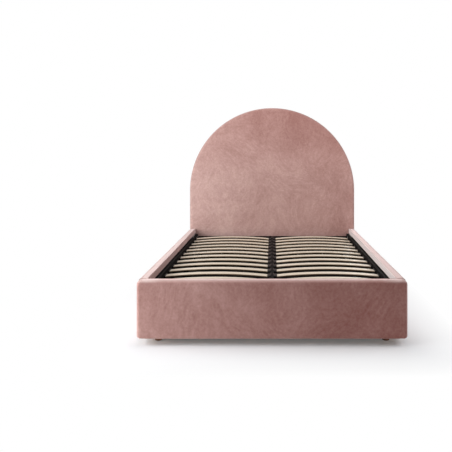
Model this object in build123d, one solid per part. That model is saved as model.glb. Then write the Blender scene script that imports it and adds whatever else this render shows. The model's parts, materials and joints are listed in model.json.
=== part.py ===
"""Upholstered storage bed with an arched headboard and a lifting slatted base.

Millimetres, +Z up, the foot end faces -Y and the headboard stands at +Y.
The origin is on the floor, under the middle of the whole bed.
Left means the -X side, which is on the left when seen from the foot end.
"""
import math
import os

from build123d import *

# Upholstered box
WELL_WIDTH = 1600
WELL_LENGTH = 2000
RAIL_THICKNESS = 65
PANEL_HEIGHT = 369
FOOT_HEIGHT = 45
PANEL_EDGE_RADIUS = 18
BOARD_THICKNESS = 18

# Headboard
HEADBOARD_THICKNESS = 95
HEADBOARD_HEIGHT = 1633
HEADBOARD_EDGE_RADIUS = 28
HEADBOARD_FOAM = 40
HEADBOARD_RIM_FOAM = 26
HEADBOARD_RIB_WIDTH = 45
BACK_CLOTH_THICKNESS = 3
BACK_CLOTH_MARGIN = 14

# Floor of the storage box
BATTEN_SIZE = 30
CORNER_BLOCK_LENGTH = 100
CENTRE_BEAM_WIDTH = 60
FLOOR_THICKNESS = 8
FLOOR_JOINT = 0.6

# Feet
FOOT_TOP_DIAMETER = 58
FOOT_TIP_DIAMETER = 40
FOOT_INSET_X = 57
FOOT_INSET_Y = 45
CENTRE_FOOT_COUNT = 2
CENTRE_FOOT_PITCH = 900

# Corner brackets and their bolt heads
BRACKET_LEG = 40
BRACKET_HEIGHT = 130
BRACKET_THICKNESS = 3
BRACKET_LIFT = 2
BOLT_HEAD_DIAMETER = 14
BOLT_HEAD_HEIGHT = 5
BOLT_LEG_OFFSET = 24

# Steel base frame
WELL_DEPTH = 53
BASE_SIDE_GAP = 4
BASE_FOOT_GAP = 10
BASE_HEAD_GAP = 12
SIDE_TUBE_WIDTH = 20
SIDE_TUBE_HEIGHT = 50
END_TUBE_WIDTH = 25
END_TUBE_HEIGHT = 27
CENTRE_TUBE_WIDTH = 20
CENTRE_TUBE_HEIGHT = 30
BRACE_SIZE = 25
SLATS_BEFORE_BRACE_COUNTS = (5, 9)
TUBE_WALL = 1.5

# Sprung slats
SLAT_COUNT = 13
SLAT_FOOT_MARGIN = 66
SLAT_HEAD_MARGIN = 104
SLAT_WIDTH = 63
SLAT_THICKNESS = 8
SLAT_RADIUS = 3525
SLAT_CROWN_DEPTH = 8
SLAT_SEATING = 16

# Slat holders
HOLDER_REACH = 9.5
HOLDER_WALL = 2
HOLDER_FLANGE = 4
HOLDER_BACK = 7
CENTRE_HOLDER_REACH = 25
CENTRE_HOLDER_CLIP = 5
CENTRE_CLIP_THICKNESS = 2.5
POCKET_SIDE_CLEARANCE = 0.3
POCKET_TOP_CLEARANCE = 1
SLOT_CLEARANCE = 0.2

# Timber ledges that carry the closed base
LEDGE_WIDTH = 20
LEDGE_HEIGHT = 30
LEDGE_STRUT_CLEARANCE = 175
REST_CLEARANCE = 0.3

# Lift pivot and gas struts
PIVOT_FROM_HEAD_END = 68
PIVOT_DIAMETER = 10
STRUT_FOOT_RUN = 100
STRUT_FOOT_LIFT = 63
STRUT_HEAD_RUN = 430
STRUT_HEAD_DROP = 46
STRUT_PLANE_INSET = 16
STRUT_PIN_DIAMETER = 8
STRUT_EYE_DIAMETER = 20
STRUT_EYE_THICKNESS = 12
STRUT_OPEN_GAP = 0.4
CYLINDER_DIAMETER = 22
CYLINDER_END_GAP = 30
ROD_DIAMETER = 10
ROD_ENGAGEMENT = 185
BORE_SPARE = 10
PIN_COLLAR_WIDTH = 3
PIN_COLLAR_HEIGHT = 2
PIN_END_GAP = 0.5
RUNNING_CLEARANCE = 0.05
HINGE_PLATE_THICKNESS = 3
HINGE_PLATE_MARGIN = 30
LUG_THICKNESS = 4
LUG_WIDTH = 30

# Length by which a cutting tool runs past the face that it cuts
OVERRUN = 1

# Places that follow from the driving dimensions
TOTAL_LENGTH = RAIL_THICKNESS + WELL_LENGTH + HEADBOARD_THICKNESS
FRONT_Y = -TOTAL_LENGTH / 2
FOOT_WALL_Y = FRONT_Y + RAIL_THICKNESS
HEAD_WALL_Y = FOOT_WALL_Y + WELL_LENGTH
BACK_Y = TOTAL_LENGTH / 2
MIDDLE_Y = (FOOT_WALL_Y + HEAD_WALL_Y) / 2
RAIL_X = WELL_WIDTH / 2
OUTER_X = RAIL_X + RAIL_THICKNESS
PANEL_TOP = FOOT_HEIGHT + PANEL_HEIGHT
PANEL_FOAM = (RAIL_THICKNESS - BOARD_THICKNESS) / 2
HEADBOARD_TOP = FOOT_HEIGHT + HEADBOARD_HEIGHT
COVER_BACK_Y = BACK_Y - BACK_CLOTH_THICKNESS
FLOOR_BOTTOM = FOOT_HEIGHT + BATTEN_SIZE
FLOOR_TOP = FLOOR_BOTTOM + FLOOR_THICKNESS

BASE_TOP = PANEL_TOP - WELL_DEPTH
BASE_BOTTOM = BASE_TOP - SIDE_TUBE_HEIGHT
TUBE_OUTER_X = RAIL_X - BASE_SIDE_GAP
TUBE_INNER_X = TUBE_OUTER_X - SIDE_TUBE_WIDTH
BASE_FOOT_Y = FOOT_WALL_Y + BASE_FOOT_GAP
BASE_HEAD_Y = HEAD_WALL_Y - BASE_HEAD_GAP
CENTRE_TUBE_X = CENTRE_TUBE_WIDTH / 2
CENTRE_TUBE_TOP = BASE_BOTTOM + CENTRE_TUBE_HEIGHT

SIDE_MOUTH_X = TUBE_INNER_X - HOLDER_REACH
CENTRE_MOUTH_X = CENTRE_TUBE_X + CENTRE_HOLDER_REACH
SLAT_OUTER_X = SIDE_MOUTH_X + SLAT_SEATING
SLAT_INNER_X = CENTRE_MOUTH_X - SLAT_SEATING
SLAT_MIDDLE_X = (SLAT_OUTER_X + SLAT_INNER_X) / 2
SLAT_CROWN_Z = BASE_TOP - SLAT_CROWN_DEPTH
SLAT_ARC_Z = SLAT_CROWN_Z - SLAT_RADIUS
FIRST_SLAT_Y = BASE_FOOT_Y + END_TUBE_WIDTH + SLAT_FOOT_MARGIN
LAST_SLAT_Y = BASE_HEAD_Y - END_TUBE_WIDTH - SLAT_HEAD_MARGIN
SLAT_PITCH = (LAST_SLAT_Y - FIRST_SLAT_Y) / (SLAT_COUNT - 1)

PIVOT_Y = BASE_HEAD_Y - PIVOT_FROM_HEAD_END
PIVOT_Z = (BASE_TOP + BASE_BOTTOM) / 2
STRUT_X = RAIL_X - STRUT_PLANE_INSET
STRUT_FOOT = (PIVOT_Y - STRUT_FOOT_RUN, FLOOR_TOP + STRUT_FOOT_LIFT)
STRUT_HEAD = (PIVOT_Y - STRUT_HEAD_RUN, PIVOT_Z - STRUT_HEAD_DROP)
STRUT_LENGTH = math.dist(STRUT_FOOT, STRUT_HEAD)
STRUT_SLOPE = math.degrees(math.atan2(STRUT_HEAD[1] - STRUT_FOOT[1], STRUT_FOOT[0] - STRUT_HEAD[0]))
PLATE_X = RAIL_X - HINGE_PLATE_THICKNESS


def block(x0, x1, y0, y1, z0, z1):
    """A box between two opposite corners."""
    middle = Pos((x0 + x1) / 2, (y0 + y1) / 2, (z0 + z1) / 2)
    return middle * Box(x1 - x0, y1 - y0, z1 - z0)


def mirrored(solid):
    """The same piece on the other side of the bed."""
    return mirror(solid, about=Plane.YZ)


def x_cylinder(x0, x1, y, z, radius):
    """A round bar along X between two planes."""
    return Pos((x0 + x1) / 2, y, z) * Rot(0, 90, 0) * Cylinder(radius, x1 - x0)


def slat_arc_z(x, radius):
    """Height of an arc about the slats' common centre, over the place x."""
    return SLAT_ARC_Z + math.sqrt(radius**2 - (x - SLAT_MIDDLE_X) ** 2)


def slat_places():
    """Middle of each slat along the bed, from the foot end."""
    return [FIRST_SLAT_Y + index * SLAT_PITCH for index in range(SLAT_COUNT)]


def bracket_bolts():
    """Hexagon bolt heads on both legs of each corner bracket; their shanks lie hidden in the walls."""
    z = FLOOR_TOP + BRACKET_LIFT + BRACKET_HEIGHT / 2
    seat = BRACKET_THICKNESS + BOLT_HEAD_HEIGHT / 2
    hexagon = RegularPolygon(BOLT_HEAD_DIAMETER / 2, 6)
    head = extrude(hexagon, BOLT_HEAD_HEIGHT / 2, both=True)
    bolts = []
    for wall_y, inward in ((FOOT_WALL_Y, 1), (HEAD_WALL_Y, -1)):
        on_rail = Pos(RAIL_X - seat, wall_y + inward * BOLT_LEG_OFFSET, z) * Rot(0, 90, 0) * head
        on_end = Pos(RAIL_X - BOLT_LEG_OFFSET, wall_y + inward * seat, z) * Rot(90, 0, 0) * head
        bolts += [on_rail, on_end, mirrored(on_rail), mirrored(on_end)]
    return bolts


def corner_brackets():
    """An L-shaped steel bracket in each lower corner of the storage box."""
    brackets = []
    z0 = FLOOR_TOP + BRACKET_LIFT
    z1 = z0 + BRACKET_HEIGHT
    for wall_y, inward in ((FOOT_WALL_Y, 1), (HEAD_WALL_Y, -1)):
        near, far = sorted((wall_y, wall_y + inward * BRACKET_LEG))
        face, lip = sorted((wall_y, wall_y + inward * BRACKET_THICKNESS))
        along_rail = block(RAIL_X - BRACKET_THICKNESS, RAIL_X, near, far, z0, z1)
        along_end = block(RAIL_X - BRACKET_LEG, RAIL_X, face, lip, z0, z1)
        bracket = along_rail + along_end
        brackets += [bracket, mirrored(bracket)]
    return brackets


def foot_rail_board():
    """The board inside the foot rail."""
    x = OUTER_X - PANEL_FOAM
    return block(
        -x, x, FRONT_Y + PANEL_FOAM, FOOT_WALL_Y - PANEL_FOAM, FOOT_HEIGHT, PANEL_TOP - PANEL_FOAM
    )


def foot_rail_cover():
    """Foam and velvet round the foot rail, over the full width of the bed."""
    cover = block(-OUTER_X, OUTER_X, FRONT_Y, FOOT_WALL_Y, FOOT_HEIGHT, PANEL_TOP)
    top_edges = cover.faces().sort_by(Axis.Z)[-1].edges()
    front_edges = cover.faces().sort_by(Axis.Y)[0].edges().filter_by(Axis.Z)
    cover = fillet(top_edges + front_edges, PANEL_EDGE_RADIUS)
    x = OUTER_X - PANEL_FOAM
    pocket = block(
        -x, x, FRONT_Y + PANEL_FOAM, FOOT_WALL_Y - PANEL_FOAM, FOOT_HEIGHT - OVERRUN, PANEL_TOP - PANEL_FOAM
    )
    return cover - pocket


def side_rail_board():
    """The board inside the right side rail."""
    x0 = RAIL_X + PANEL_FOAM
    x1 = OUTER_X - PANEL_FOAM
    return block(x0, x1, FOOT_WALL_Y, HEAD_WALL_Y, FOOT_HEIGHT, PANEL_TOP - PANEL_FOAM)


def side_rail_cover():
    """Foam and velvet round the right side rail, between foot rail and headboard."""
    cover = block(RAIL_X, OUTER_X, FOOT_WALL_Y, HEAD_WALL_Y, FOOT_HEIGHT, PANEL_TOP)
    long_edges = cover.faces().sort_by(Axis.Z)[-1].edges().filter_by(Axis.Y)
    cover = fillet(long_edges, PANEL_EDGE_RADIUS)
    pocket = block(
        RAIL_X + PANEL_FOAM,
        OUTER_X - PANEL_FOAM,
        FOOT_WALL_Y - OVERRUN,
        HEAD_WALL_Y + OVERRUN,
        FOOT_HEIGHT - OVERRUN,
        PANEL_TOP - PANEL_FOAM,
    )
    return cover - pocket


def arch(inset, y0, y1):
    """The headboard's outline drawn in by inset, a half circle on straight sides, from y0 to y1."""
    radius = OUTER_X - inset
    spring_z = HEADBOARD_TOP - OUTER_X
    bottom_z = FOOT_HEIGHT + inset
    outline = [
        Line((-radius, bottom_z), (radius, bottom_z)),
        Line((radius, bottom_z), (radius, spring_z)),
        ThreePointArc((radius, spring_z), (0, spring_z + radius), (-radius, spring_z)),
        Line((-radius, spring_z), (-radius, bottom_z)),
    ]
    face = make_face(outline)
    return Pos(0, y1, 0) * Rot(90, 0, 0) * extrude(face, y1 - y0)


def headboard_board():
    """Arched board with a timber rim behind it, bare in the middle of its back."""
    front = HEAD_WALL_Y + HEADBOARD_FOAM
    board = arch(HEADBOARD_RIM_FOAM, front, COVER_BACK_Y)
    recess = arch(HEADBOARD_RIM_FOAM + HEADBOARD_RIB_WIDTH, front + BOARD_THICKNESS, COVER_BACK_Y + OVERRUN)
    return board - recess


def headboard_cover():
    """Foam and velvet over the headboard's face and rim."""
    cover = arch(0, HEAD_WALL_Y, COVER_BACK_Y)
    front_edges = cover.faces().sort_by(Axis.Y)[0].edges()
    cover = fillet(front_edges, HEADBOARD_EDGE_RADIUS)
    pocket = arch(HEADBOARD_RIM_FOAM, HEAD_WALL_Y + HEADBOARD_FOAM, COVER_BACK_Y + OVERRUN)
    return cover - pocket


def headboard_back_cloth():
    """Thin cloth that closes the headboard's back."""
    return arch(BACK_CLOTH_MARGIN, COVER_BACK_Y, BACK_Y)


def corner_blocks():
    """Timber blocks in the lower corners that the corner feet screw into."""
    blocks = []
    for y0, y1 in (
        (FOOT_WALL_Y, FOOT_WALL_Y + CORNER_BLOCK_LENGTH),
        (HEAD_WALL_Y - CORNER_BLOCK_LENGTH, HEAD_WALL_Y),
    ):
        corner = block(RAIL_X - CORNER_BLOCK_LENGTH, RAIL_X, y0, y1, FOOT_HEIGHT, FLOOR_BOTTOM)
        blocks += [corner, mirrored(corner)]
    return blocks


def floor_battens():
    """Battens round the walls that carry the floor panels' edges."""
    y0 = FOOT_WALL_Y + CORNER_BLOCK_LENGTH
    y1 = HEAD_WALL_Y - CORNER_BLOCK_LENGTH
    x = RAIL_X - CORNER_BLOCK_LENGTH
    side = block(RAIL_X - BATTEN_SIZE, RAIL_X, y0, y1, FOOT_HEIGHT, FLOOR_BOTTOM)
    foot = block(-x, x, FOOT_WALL_Y, FOOT_WALL_Y + BATTEN_SIZE, FOOT_HEIGHT, FLOOR_BOTTOM)
    head = block(-x, x, HEAD_WALL_Y - BATTEN_SIZE, HEAD_WALL_Y, FOOT_HEIGHT, FLOOR_BOTTOM)
    return [side, mirrored(side), foot, head]


def centre_beam():
    """Beam under the floor's middle, between the end battens."""
    return block(
        -CENTRE_BEAM_WIDTH / 2,
        CENTRE_BEAM_WIDTH / 2,
        FOOT_WALL_Y + BATTEN_SIZE,
        HEAD_WALL_Y - BATTEN_SIZE,
        FOOT_HEIGHT,
        FLOOR_BOTTOM,
    )


def floor_panels():
    """Four thin panels that make the storage box's floor."""
    panels = []
    gap = FLOOR_JOINT / 2
    for y0, y1 in ((FOOT_WALL_Y, MIDDLE_Y - gap), (MIDDLE_Y + gap, HEAD_WALL_Y)):
        panel = block(gap, RAIL_X, y0, y1, FLOOR_BOTTOM, FLOOR_TOP)
        panels += [panel, mirrored(panel)]
    return panels


def feet():
    """Tapered wooden feet at the corners and under the centre beam."""
    x = RAIL_X - FOOT_INSET_X
    places = [(side * x, y) for side in (-1, 1) for y in (FOOT_WALL_Y + FOOT_INSET_Y, HEAD_WALL_Y - FOOT_INSET_Y)]
    first = MIDDLE_Y - CENTRE_FOOT_PITCH * (CENTRE_FOOT_COUNT - 1) / 2
    places += [(0, first + index * CENTRE_FOOT_PITCH) for index in range(CENTRE_FOOT_COUNT)]
    cone = Cone(FOOT_TIP_DIAMETER / 2, FOOT_TOP_DIAMETER / 2, FOOT_HEIGHT)
    return [Pos(place[0], place[1], FOOT_HEIGHT / 2) * cone for place in places]


def support_ledges():
    """Timber ledges on the rails and the foot wall that the closed base rests on."""
    top = BASE_BOTTOM - REST_CLEARANCE
    end = STRUT_HEAD[0] - LUG_WIDTH / 2 - LEDGE_STRUT_CLEARANCE
    side = block(RAIL_X - LEDGE_WIDTH, RAIL_X, FOOT_WALL_Y, end, top - LEDGE_HEIGHT, top)
    x = RAIL_X - LEDGE_WIDTH
    foot = block(-x, x, FOOT_WALL_Y, FOOT_WALL_Y + LEDGE_WIDTH, top - LEDGE_HEIGHT, top)
    return [side, mirrored(side), foot]


def hollow_tube(x0, x1, y0, y1, z0, z1, axis):
    """A rectangular tube, open at both ends along the given axis."""
    tube = block(x0, x1, y0, y1, z0, z1)
    ends = tube.faces().filter_by(axis)
    return offset(tube, amount=-TUBE_WALL, openings=ends)


def holder_pocket():
    """Width, floor and roof of the pocket that takes a slat's end."""
    width = SLAT_WIDTH + 2 * POCKET_SIDE_CLEARANCE
    floor = slat_arc_z(SLAT_OUTER_X, SLAT_RADIUS - SLAT_THICKNESS) - POCKET_SIDE_CLEARANCE
    roof = slat_arc_z(SIDE_MOUTH_X, SLAT_RADIUS) + POCKET_TOP_CLEARANCE
    return width, floor, roof


def side_tube():
    """Right side tube of the base, with a slot for each slat holder and bores for the pivot pin."""
    tube = hollow_tube(TUBE_INNER_X, TUBE_OUTER_X, BASE_FOOT_Y, BASE_HEAD_Y, BASE_BOTTOM, BASE_TOP, Axis.Y)
    width, floor, roof = holder_pocket()
    half = width / 2 + HOLDER_WALL + SLOT_CLEARANCE
    z0 = floor - HOLDER_WALL - SLOT_CLEARANCE
    z1 = roof + HOLDER_WALL + SLOT_CLEARANCE
    slots = [
        block(TUBE_INNER_X - OVERRUN, TUBE_INNER_X + TUBE_WALL + OVERRUN, y - half, y + half, z0, z1)
        for y in slat_places()
    ]
    bore = x_cylinder(
        TUBE_INNER_X - OVERRUN,
        TUBE_OUTER_X + OVERRUN,
        PIVOT_Y,
        PIVOT_Z,
        PIVOT_DIAMETER / 2 + RUNNING_CLEARANCE,
    )
    return tube - slots - bore


def end_tubes():
    """Cross tubes at the foot and head ends of the base."""
    top = BASE_BOTTOM + END_TUBE_HEIGHT
    return [
        hollow_tube(-TUBE_INNER_X, TUBE_INNER_X, y, y + END_TUBE_WIDTH, BASE_BOTTOM, top, Axis.X)
        for y in (BASE_FOOT_Y, BASE_HEAD_Y - END_TUBE_WIDTH)
    ]


def centre_tube():
    """Tube down the middle of the base, between its end tubes."""
    return hollow_tube(
        -CENTRE_TUBE_X,
        CENTRE_TUBE_X,
        BASE_FOOT_Y + END_TUBE_WIDTH,
        BASE_HEAD_Y - END_TUBE_WIDTH,
        BASE_BOTTOM,
        CENTRE_TUBE_TOP,
        Axis.Y,
    )


def mid_braces():
    """Cross tubes between slats, from the centre tube to each side tube."""
    braces = []
    for count in SLATS_BEFORE_BRACE_COUNTS:
        y = FIRST_SLAT_Y + (count - 1 / 2) * SLAT_PITCH
        brace = hollow_tube(
            CENTRE_TUBE_X,
            TUBE_INNER_X,
            y - BRACE_SIZE / 2,
            y + BRACE_SIZE / 2,
            BASE_BOTTOM,
            BASE_BOTTOM + BRACE_SIZE,
            Axis.X,
        )
        braces += [brace, mirrored(brace)]
    return braces


def side_holders():
    """Plastic holders of the right side: a body through the tube's slot and a flange on its face."""
    holders = []
    width, floor, roof = holder_pocket()
    half = width / 2
    body_half = half + HOLDER_WALL
    flange_half = body_half + HOLDER_FLANGE / 2
    flange_z = HOLDER_WALL + HOLDER_FLANGE / 2
    for y in slat_places():
        body = block(
            SIDE_MOUTH_X,
            SLAT_OUTER_X + HOLDER_BACK,
            y - body_half,
            y + body_half,
            floor - HOLDER_WALL,
            roof + HOLDER_WALL,
        )
        flange = block(
            SIDE_MOUTH_X, TUBE_INNER_X, y - flange_half, y + flange_half, floor - flange_z, roof + flange_z
        )
        pocket = block(
            SIDE_MOUTH_X - OVERRUN, SLAT_OUTER_X + POCKET_SIDE_CLEARANCE, y - half, y + half, floor, roof
        )
        holders.append(body + flange - pocket)
    return holders


def centre_holders():
    """Plastic holders on both sides of the centre tube, clipped over its top edge."""
    holders = []
    width, floor, roof = holder_pocket()
    half = width / 2
    body_half = half + HOLDER_WALL
    clip_x = CENTRE_TUBE_X - CENTRE_HOLDER_CLIP
    clip_z = CENTRE_TUBE_TOP + CENTRE_CLIP_THICKNESS
    riser_x = CENTRE_TUBE_X + CENTRE_CLIP_THICKNESS
    body_top = roof + HOLDER_WALL
    for y in slat_places():
        y0 = y - body_half
        y1 = y + body_half
        body = block(CENTRE_TUBE_X, CENTRE_MOUTH_X, y0, y1, floor - HOLDER_WALL, body_top)
        riser = block(CENTRE_TUBE_X, riser_x, y0, y1, floor - HOLDER_WALL, clip_z)
        clip = block(clip_x, riser_x, y0, y1, CENTRE_TUBE_TOP, clip_z)
        pocket = block(
            SLAT_INNER_X - POCKET_SIDE_CLEARANCE, CENTRE_MOUTH_X + OVERRUN, y - half, y + half, floor, roof
        )
        holder = body + riser + clip - pocket
        holders += [holder, mirrored(holder)]
    return holders


def slat(y):
    """A bent birch slat of the right column, from its pocket in the middle to the one in the side tube."""
    inner = SLAT_RADIUS - SLAT_THICKNESS
    top = [(x, slat_arc_z(x, SLAT_RADIUS)) for x in (SLAT_INNER_X, SLAT_MIDDLE_X, SLAT_OUTER_X)]
    under = [(x, slat_arc_z(x, inner)) for x in (SLAT_INNER_X, SLAT_MIDDLE_X, SLAT_OUTER_X)]
    outline = [
        ThreePointArc(*top),
        Line(top[-1], under[-1]),
        ThreePointArc(*reversed(under)),
        Line(under[0], top[0]),
    ]
    section = make_face(outline)
    return Pos(0, y + SLAT_WIDTH / 2, 0) * Rot(90, 0, 0) * extrude(section, SLAT_WIDTH)


def hinge_plate():
    """Steel plate on the right rail that carries the lift pivot and the strut's lower pin."""
    y0 = STRUT_FOOT[0] - HINGE_PLATE_MARGIN
    y1 = PIVOT_Y + HINGE_PLATE_MARGIN
    z0 = STRUT_FOOT[1] - HINGE_PLATE_MARGIN
    z1 = PIVOT_Z + HINGE_PLATE_MARGIN
    plate = block(PLATE_X, RAIL_X, y0, y1, z0, z1)
    plate = chamfer(plate.edges().filter_by(Axis.X), HINGE_PLATE_MARGIN / 2)
    bores = [
        x_cylinder(PLATE_X - OVERRUN, RAIL_X, y, z, diameter / 2)
        for (y, z), diameter in (((PIVOT_Y, PIVOT_Z), PIVOT_DIAMETER), (STRUT_FOOT, STRUT_PIN_DIAMETER))
    ]
    return plate - bores


def headed_pin(inner_x, y, z, diameter):
    """A pin from the rail's face inwards, with a collar round its free end."""
    shank = x_cylinder(inner_x, RAIL_X, y, z, diameter / 2)
    collar = x_cylinder(inner_x - PIN_COLLAR_HEIGHT, inner_x, y, z, diameter / 2 + PIN_COLLAR_WIDTH)
    return shank + collar


def pivot_pin():
    """Right lift pivot, through the plate and both walls of the side tube."""
    return headed_pin(TUBE_INNER_X - PIN_END_GAP, PIVOT_Y, PIVOT_Z, PIVOT_DIAMETER)


def strut_pin():
    """Right lower strut pin, through the plate and the cylinder's eye."""
    eye_x = STRUT_X - STRUT_EYE_THICKNESS / 2
    return headed_pin(eye_x - PIN_END_GAP, STRUT_FOOT[0], STRUT_FOOT[1], STRUT_PIN_DIAMETER)


def on_strut_axis(solid, distance):
    """Puts a solid that lies along Z on the right strut's axis, at a distance from the lower pin."""
    lower_pin = Pos(STRUT_X, STRUT_FOOT[0], STRUT_FOOT[1])
    return lower_pin * Rot(90 - STRUT_SLOPE, 0, 0) * Pos(0, 0, distance) * solid


def strut_bar(start, end, radius):
    """A round bar on the strut's axis between two distances from the lower pin."""
    return on_strut_axis(Cylinder(radius, end - start), (start + end) / 2)


def strut_eye(place):
    """The disc of an eye, across the strut."""
    x0 = STRUT_X - STRUT_EYE_THICKNESS / 2
    x1 = STRUT_X + STRUT_EYE_THICKNESS / 2
    return x_cylinder(x0, x1, place[0], place[1], STRUT_EYE_DIAMETER / 2)


def gas_cylinder():
    """Right strut's cylinder, with its eye on the lower pin and a bore for the rod."""
    end = STRUT_LENGTH - STRUT_EYE_DIAMETER / 2 - CYLINDER_END_GAP
    start = STRUT_PIN_DIAMETER / 2 + PIN_COLLAR_WIDTH + PIN_END_GAP
    body = strut_bar(start, end, CYLINDER_DIAMETER / 2)
    bore = strut_bar(
        end - ROD_ENGAGEMENT - BORE_SPARE, end + OVERRUN, ROD_DIAMETER / 2 + RUNNING_CLEARANCE
    )
    x0 = STRUT_X - STRUT_EYE_THICKNESS / 2 - OVERRUN
    x1 = STRUT_X + STRUT_EYE_THICKNESS / 2 + OVERRUN
    pin_bore = x_cylinder(x0, x1, *STRUT_FOOT, STRUT_PIN_DIAMETER / 2 + RUNNING_CLEARANCE)
    return strut_eye(STRUT_FOOT) + body - bore - pin_bore


def gas_rod():
    """Right strut's rod, with the ball socket that sits beside the base's lug."""
    end = STRUT_LENGTH - STRUT_EYE_DIAMETER / 2 - CYLINDER_END_GAP
    rod = strut_bar(end - ROD_ENGAGEMENT, STRUT_LENGTH, ROD_DIAMETER / 2)
    return strut_eye(STRUT_HEAD) + rod


def strut_lug():
    """Lug welded under the right side tube, with the stub of the ball stud."""
    y, z = STRUT_HEAD
    x0 = STRUT_X + STRUT_EYE_THICKNESS / 2 + 2 * STRUT_OPEN_GAP
    drop = LUG_WIDTH / 2
    lug = block(x0, x0 + LUG_THICKNESS, y - drop, y + drop, z - drop, BASE_BOTTOM)
    lug = chamfer(lug.edges().filter_by(Axis.X).sort_by(Axis.Z)[:2], drop / 2)
    return lug + x_cylinder(x0 - STRUT_OPEN_GAP, x0, y, z, STRUT_PIN_DIAMETER / 2)


def pair(solid):
    """A piece and its mirror image, as one group."""
    return [solid, mirrored(solid)]


def nodes():
    """Every named piece of the bed."""
    pieces = {
        "headboard_board": [headboard_board()],
        "headboard_cover": [headboard_cover()],
        "headboard_back_cloth": [headboard_back_cloth()],
        "foot_rail_board": [foot_rail_board()],
        "foot_rail_cover": [foot_rail_cover()],
        "side_rail_board_right": [side_rail_board()],
        "side_rail_board_left": [mirrored(side_rail_board())],
        "side_rail_cover_right": [side_rail_cover()],
        "side_rail_cover_left": [mirrored(side_rail_cover())],
        "corner_brackets": corner_brackets(),
        "bracket_bolts": bracket_bolts(),
        "support_ledges": support_ledges(),
        "corner_blocks": corner_blocks(),
        "floor_battens": floor_battens(),
        "centre_beam": [centre_beam()],
        "floor_panels": floor_panels(),
        "feet": feet(),
        "hinge_plates": pair(hinge_plate()),
        "pivot_pins": pair(pivot_pin()),
        "strut_pins": pair(strut_pin()),
        "side_tube_right": [side_tube()],
        "side_tube_left": [mirrored(side_tube())],
        "end_tubes": end_tubes(),
        "centre_tube": [centre_tube()],
        "mid_braces": mid_braces(),
        "strut_lugs": pair(strut_lug()),
        "side_holders_right": side_holders(),
        "side_holders_left": [mirrored(holder) for holder in side_holders()],
        "centre_holders": centre_holders(),
        "gas_cylinder_right": [gas_cylinder()],
        "gas_cylinder_left": [mirrored(gas_cylinder())],
        "gas_rod_right": [gas_rod()],
        "gas_rod_left": [mirrored(gas_rod())],
    }
    for index, y in enumerate(slat_places(), start=1):
        pieces[f"slat_right_{index:02d}"] = [slat(y)]
        pieces[f"slat_left_{index:02d}"] = [mirrored(slat(y))]
    return pieces


def main():
    """Writes one STEP file for each node."""
    os.makedirs("parts", exist_ok=True)
    for name, solids in nodes().items():
        shape = solids[0] if len(solids) == 1 else Compound(children=solids)
        export_step(shape, f"parts/{name}.step")


main()
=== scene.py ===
"""Builds the looks of an upholstered storage bed round its packed construction.

Metres, +Z up, and the foot end faces -Y. Left is the -X side, seen from the foot end.
"""

import json
import math
from functools import partial

import bmesh
import bpy
from bpy.props import FloatProperty, FloatVectorProperty, IntProperty, PointerProperty
from mathutils import Matrix, Vector, noise
from mathutils.kdtree import KDTree

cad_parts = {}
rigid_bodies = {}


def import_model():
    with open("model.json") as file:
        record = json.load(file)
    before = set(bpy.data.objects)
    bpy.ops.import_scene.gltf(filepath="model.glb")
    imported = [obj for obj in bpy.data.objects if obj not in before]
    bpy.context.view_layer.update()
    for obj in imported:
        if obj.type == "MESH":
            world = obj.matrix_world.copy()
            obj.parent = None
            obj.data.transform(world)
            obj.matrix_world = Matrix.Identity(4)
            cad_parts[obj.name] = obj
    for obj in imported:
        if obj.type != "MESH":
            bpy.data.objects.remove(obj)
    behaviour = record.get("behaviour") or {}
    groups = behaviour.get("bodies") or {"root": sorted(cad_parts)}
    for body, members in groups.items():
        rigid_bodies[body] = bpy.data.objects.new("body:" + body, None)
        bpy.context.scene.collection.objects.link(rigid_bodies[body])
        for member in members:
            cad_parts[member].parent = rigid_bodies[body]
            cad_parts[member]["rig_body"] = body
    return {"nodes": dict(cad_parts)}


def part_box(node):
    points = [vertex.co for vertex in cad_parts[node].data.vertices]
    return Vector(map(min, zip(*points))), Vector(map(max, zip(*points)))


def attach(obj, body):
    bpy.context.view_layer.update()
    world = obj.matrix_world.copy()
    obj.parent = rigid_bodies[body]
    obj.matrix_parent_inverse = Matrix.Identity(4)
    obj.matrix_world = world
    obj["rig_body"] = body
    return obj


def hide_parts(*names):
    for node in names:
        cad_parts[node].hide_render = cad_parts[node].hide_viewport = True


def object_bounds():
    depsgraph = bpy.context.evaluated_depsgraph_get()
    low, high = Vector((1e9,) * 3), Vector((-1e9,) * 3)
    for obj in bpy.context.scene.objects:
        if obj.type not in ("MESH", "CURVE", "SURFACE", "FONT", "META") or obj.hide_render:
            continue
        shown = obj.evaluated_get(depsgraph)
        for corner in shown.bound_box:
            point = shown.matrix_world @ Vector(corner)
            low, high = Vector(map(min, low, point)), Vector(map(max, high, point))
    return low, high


bl_info = {
    "name": "Upholstered bed frame",
    "version": (1, 0, 0),
    "blender": (4, 5, 0),
    "location": "3D View > Sidebar > Bed",
    "description": "Velvet panels, sprung slats, steel base and stage of a storage bed",
    "category": "Object",
}

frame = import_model()
CAD_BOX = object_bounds()
NODES = frame["nodes"]
MM = 0.001
INWARD = {"left": (1, 0, 0), "right": (-1, 0, 0)}
QUARTER = math.pi / 2
HARD_ANGLE = math.radians(35)
FLAT_ANGLE = math.radians(1)
STRAIGHT = 0.9
SAME_POINT = 0.002 * MM
SAME_POLE = 0.001 * MM
FINISH_PREFIX = "finish_"


def linear(*screen):
    """Eight-bit screen values as the linear colour that shaders take, by the sRGB curve."""
    shares = [value / 255 for value in screen]
    return tuple(c / 12.92 if c <= 0.04045 else ((c + 0.055) / 1.055) ** 2.4 for c in shares)


def colour(name, description, *screen):
    """A colour that the user can change."""
    return FloatVectorProperty(
        name=name,
        description=description,
        subtype="COLOR",
        size=3,
        min=0,
        max=1,
        default=linear(*screen),
    )


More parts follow.
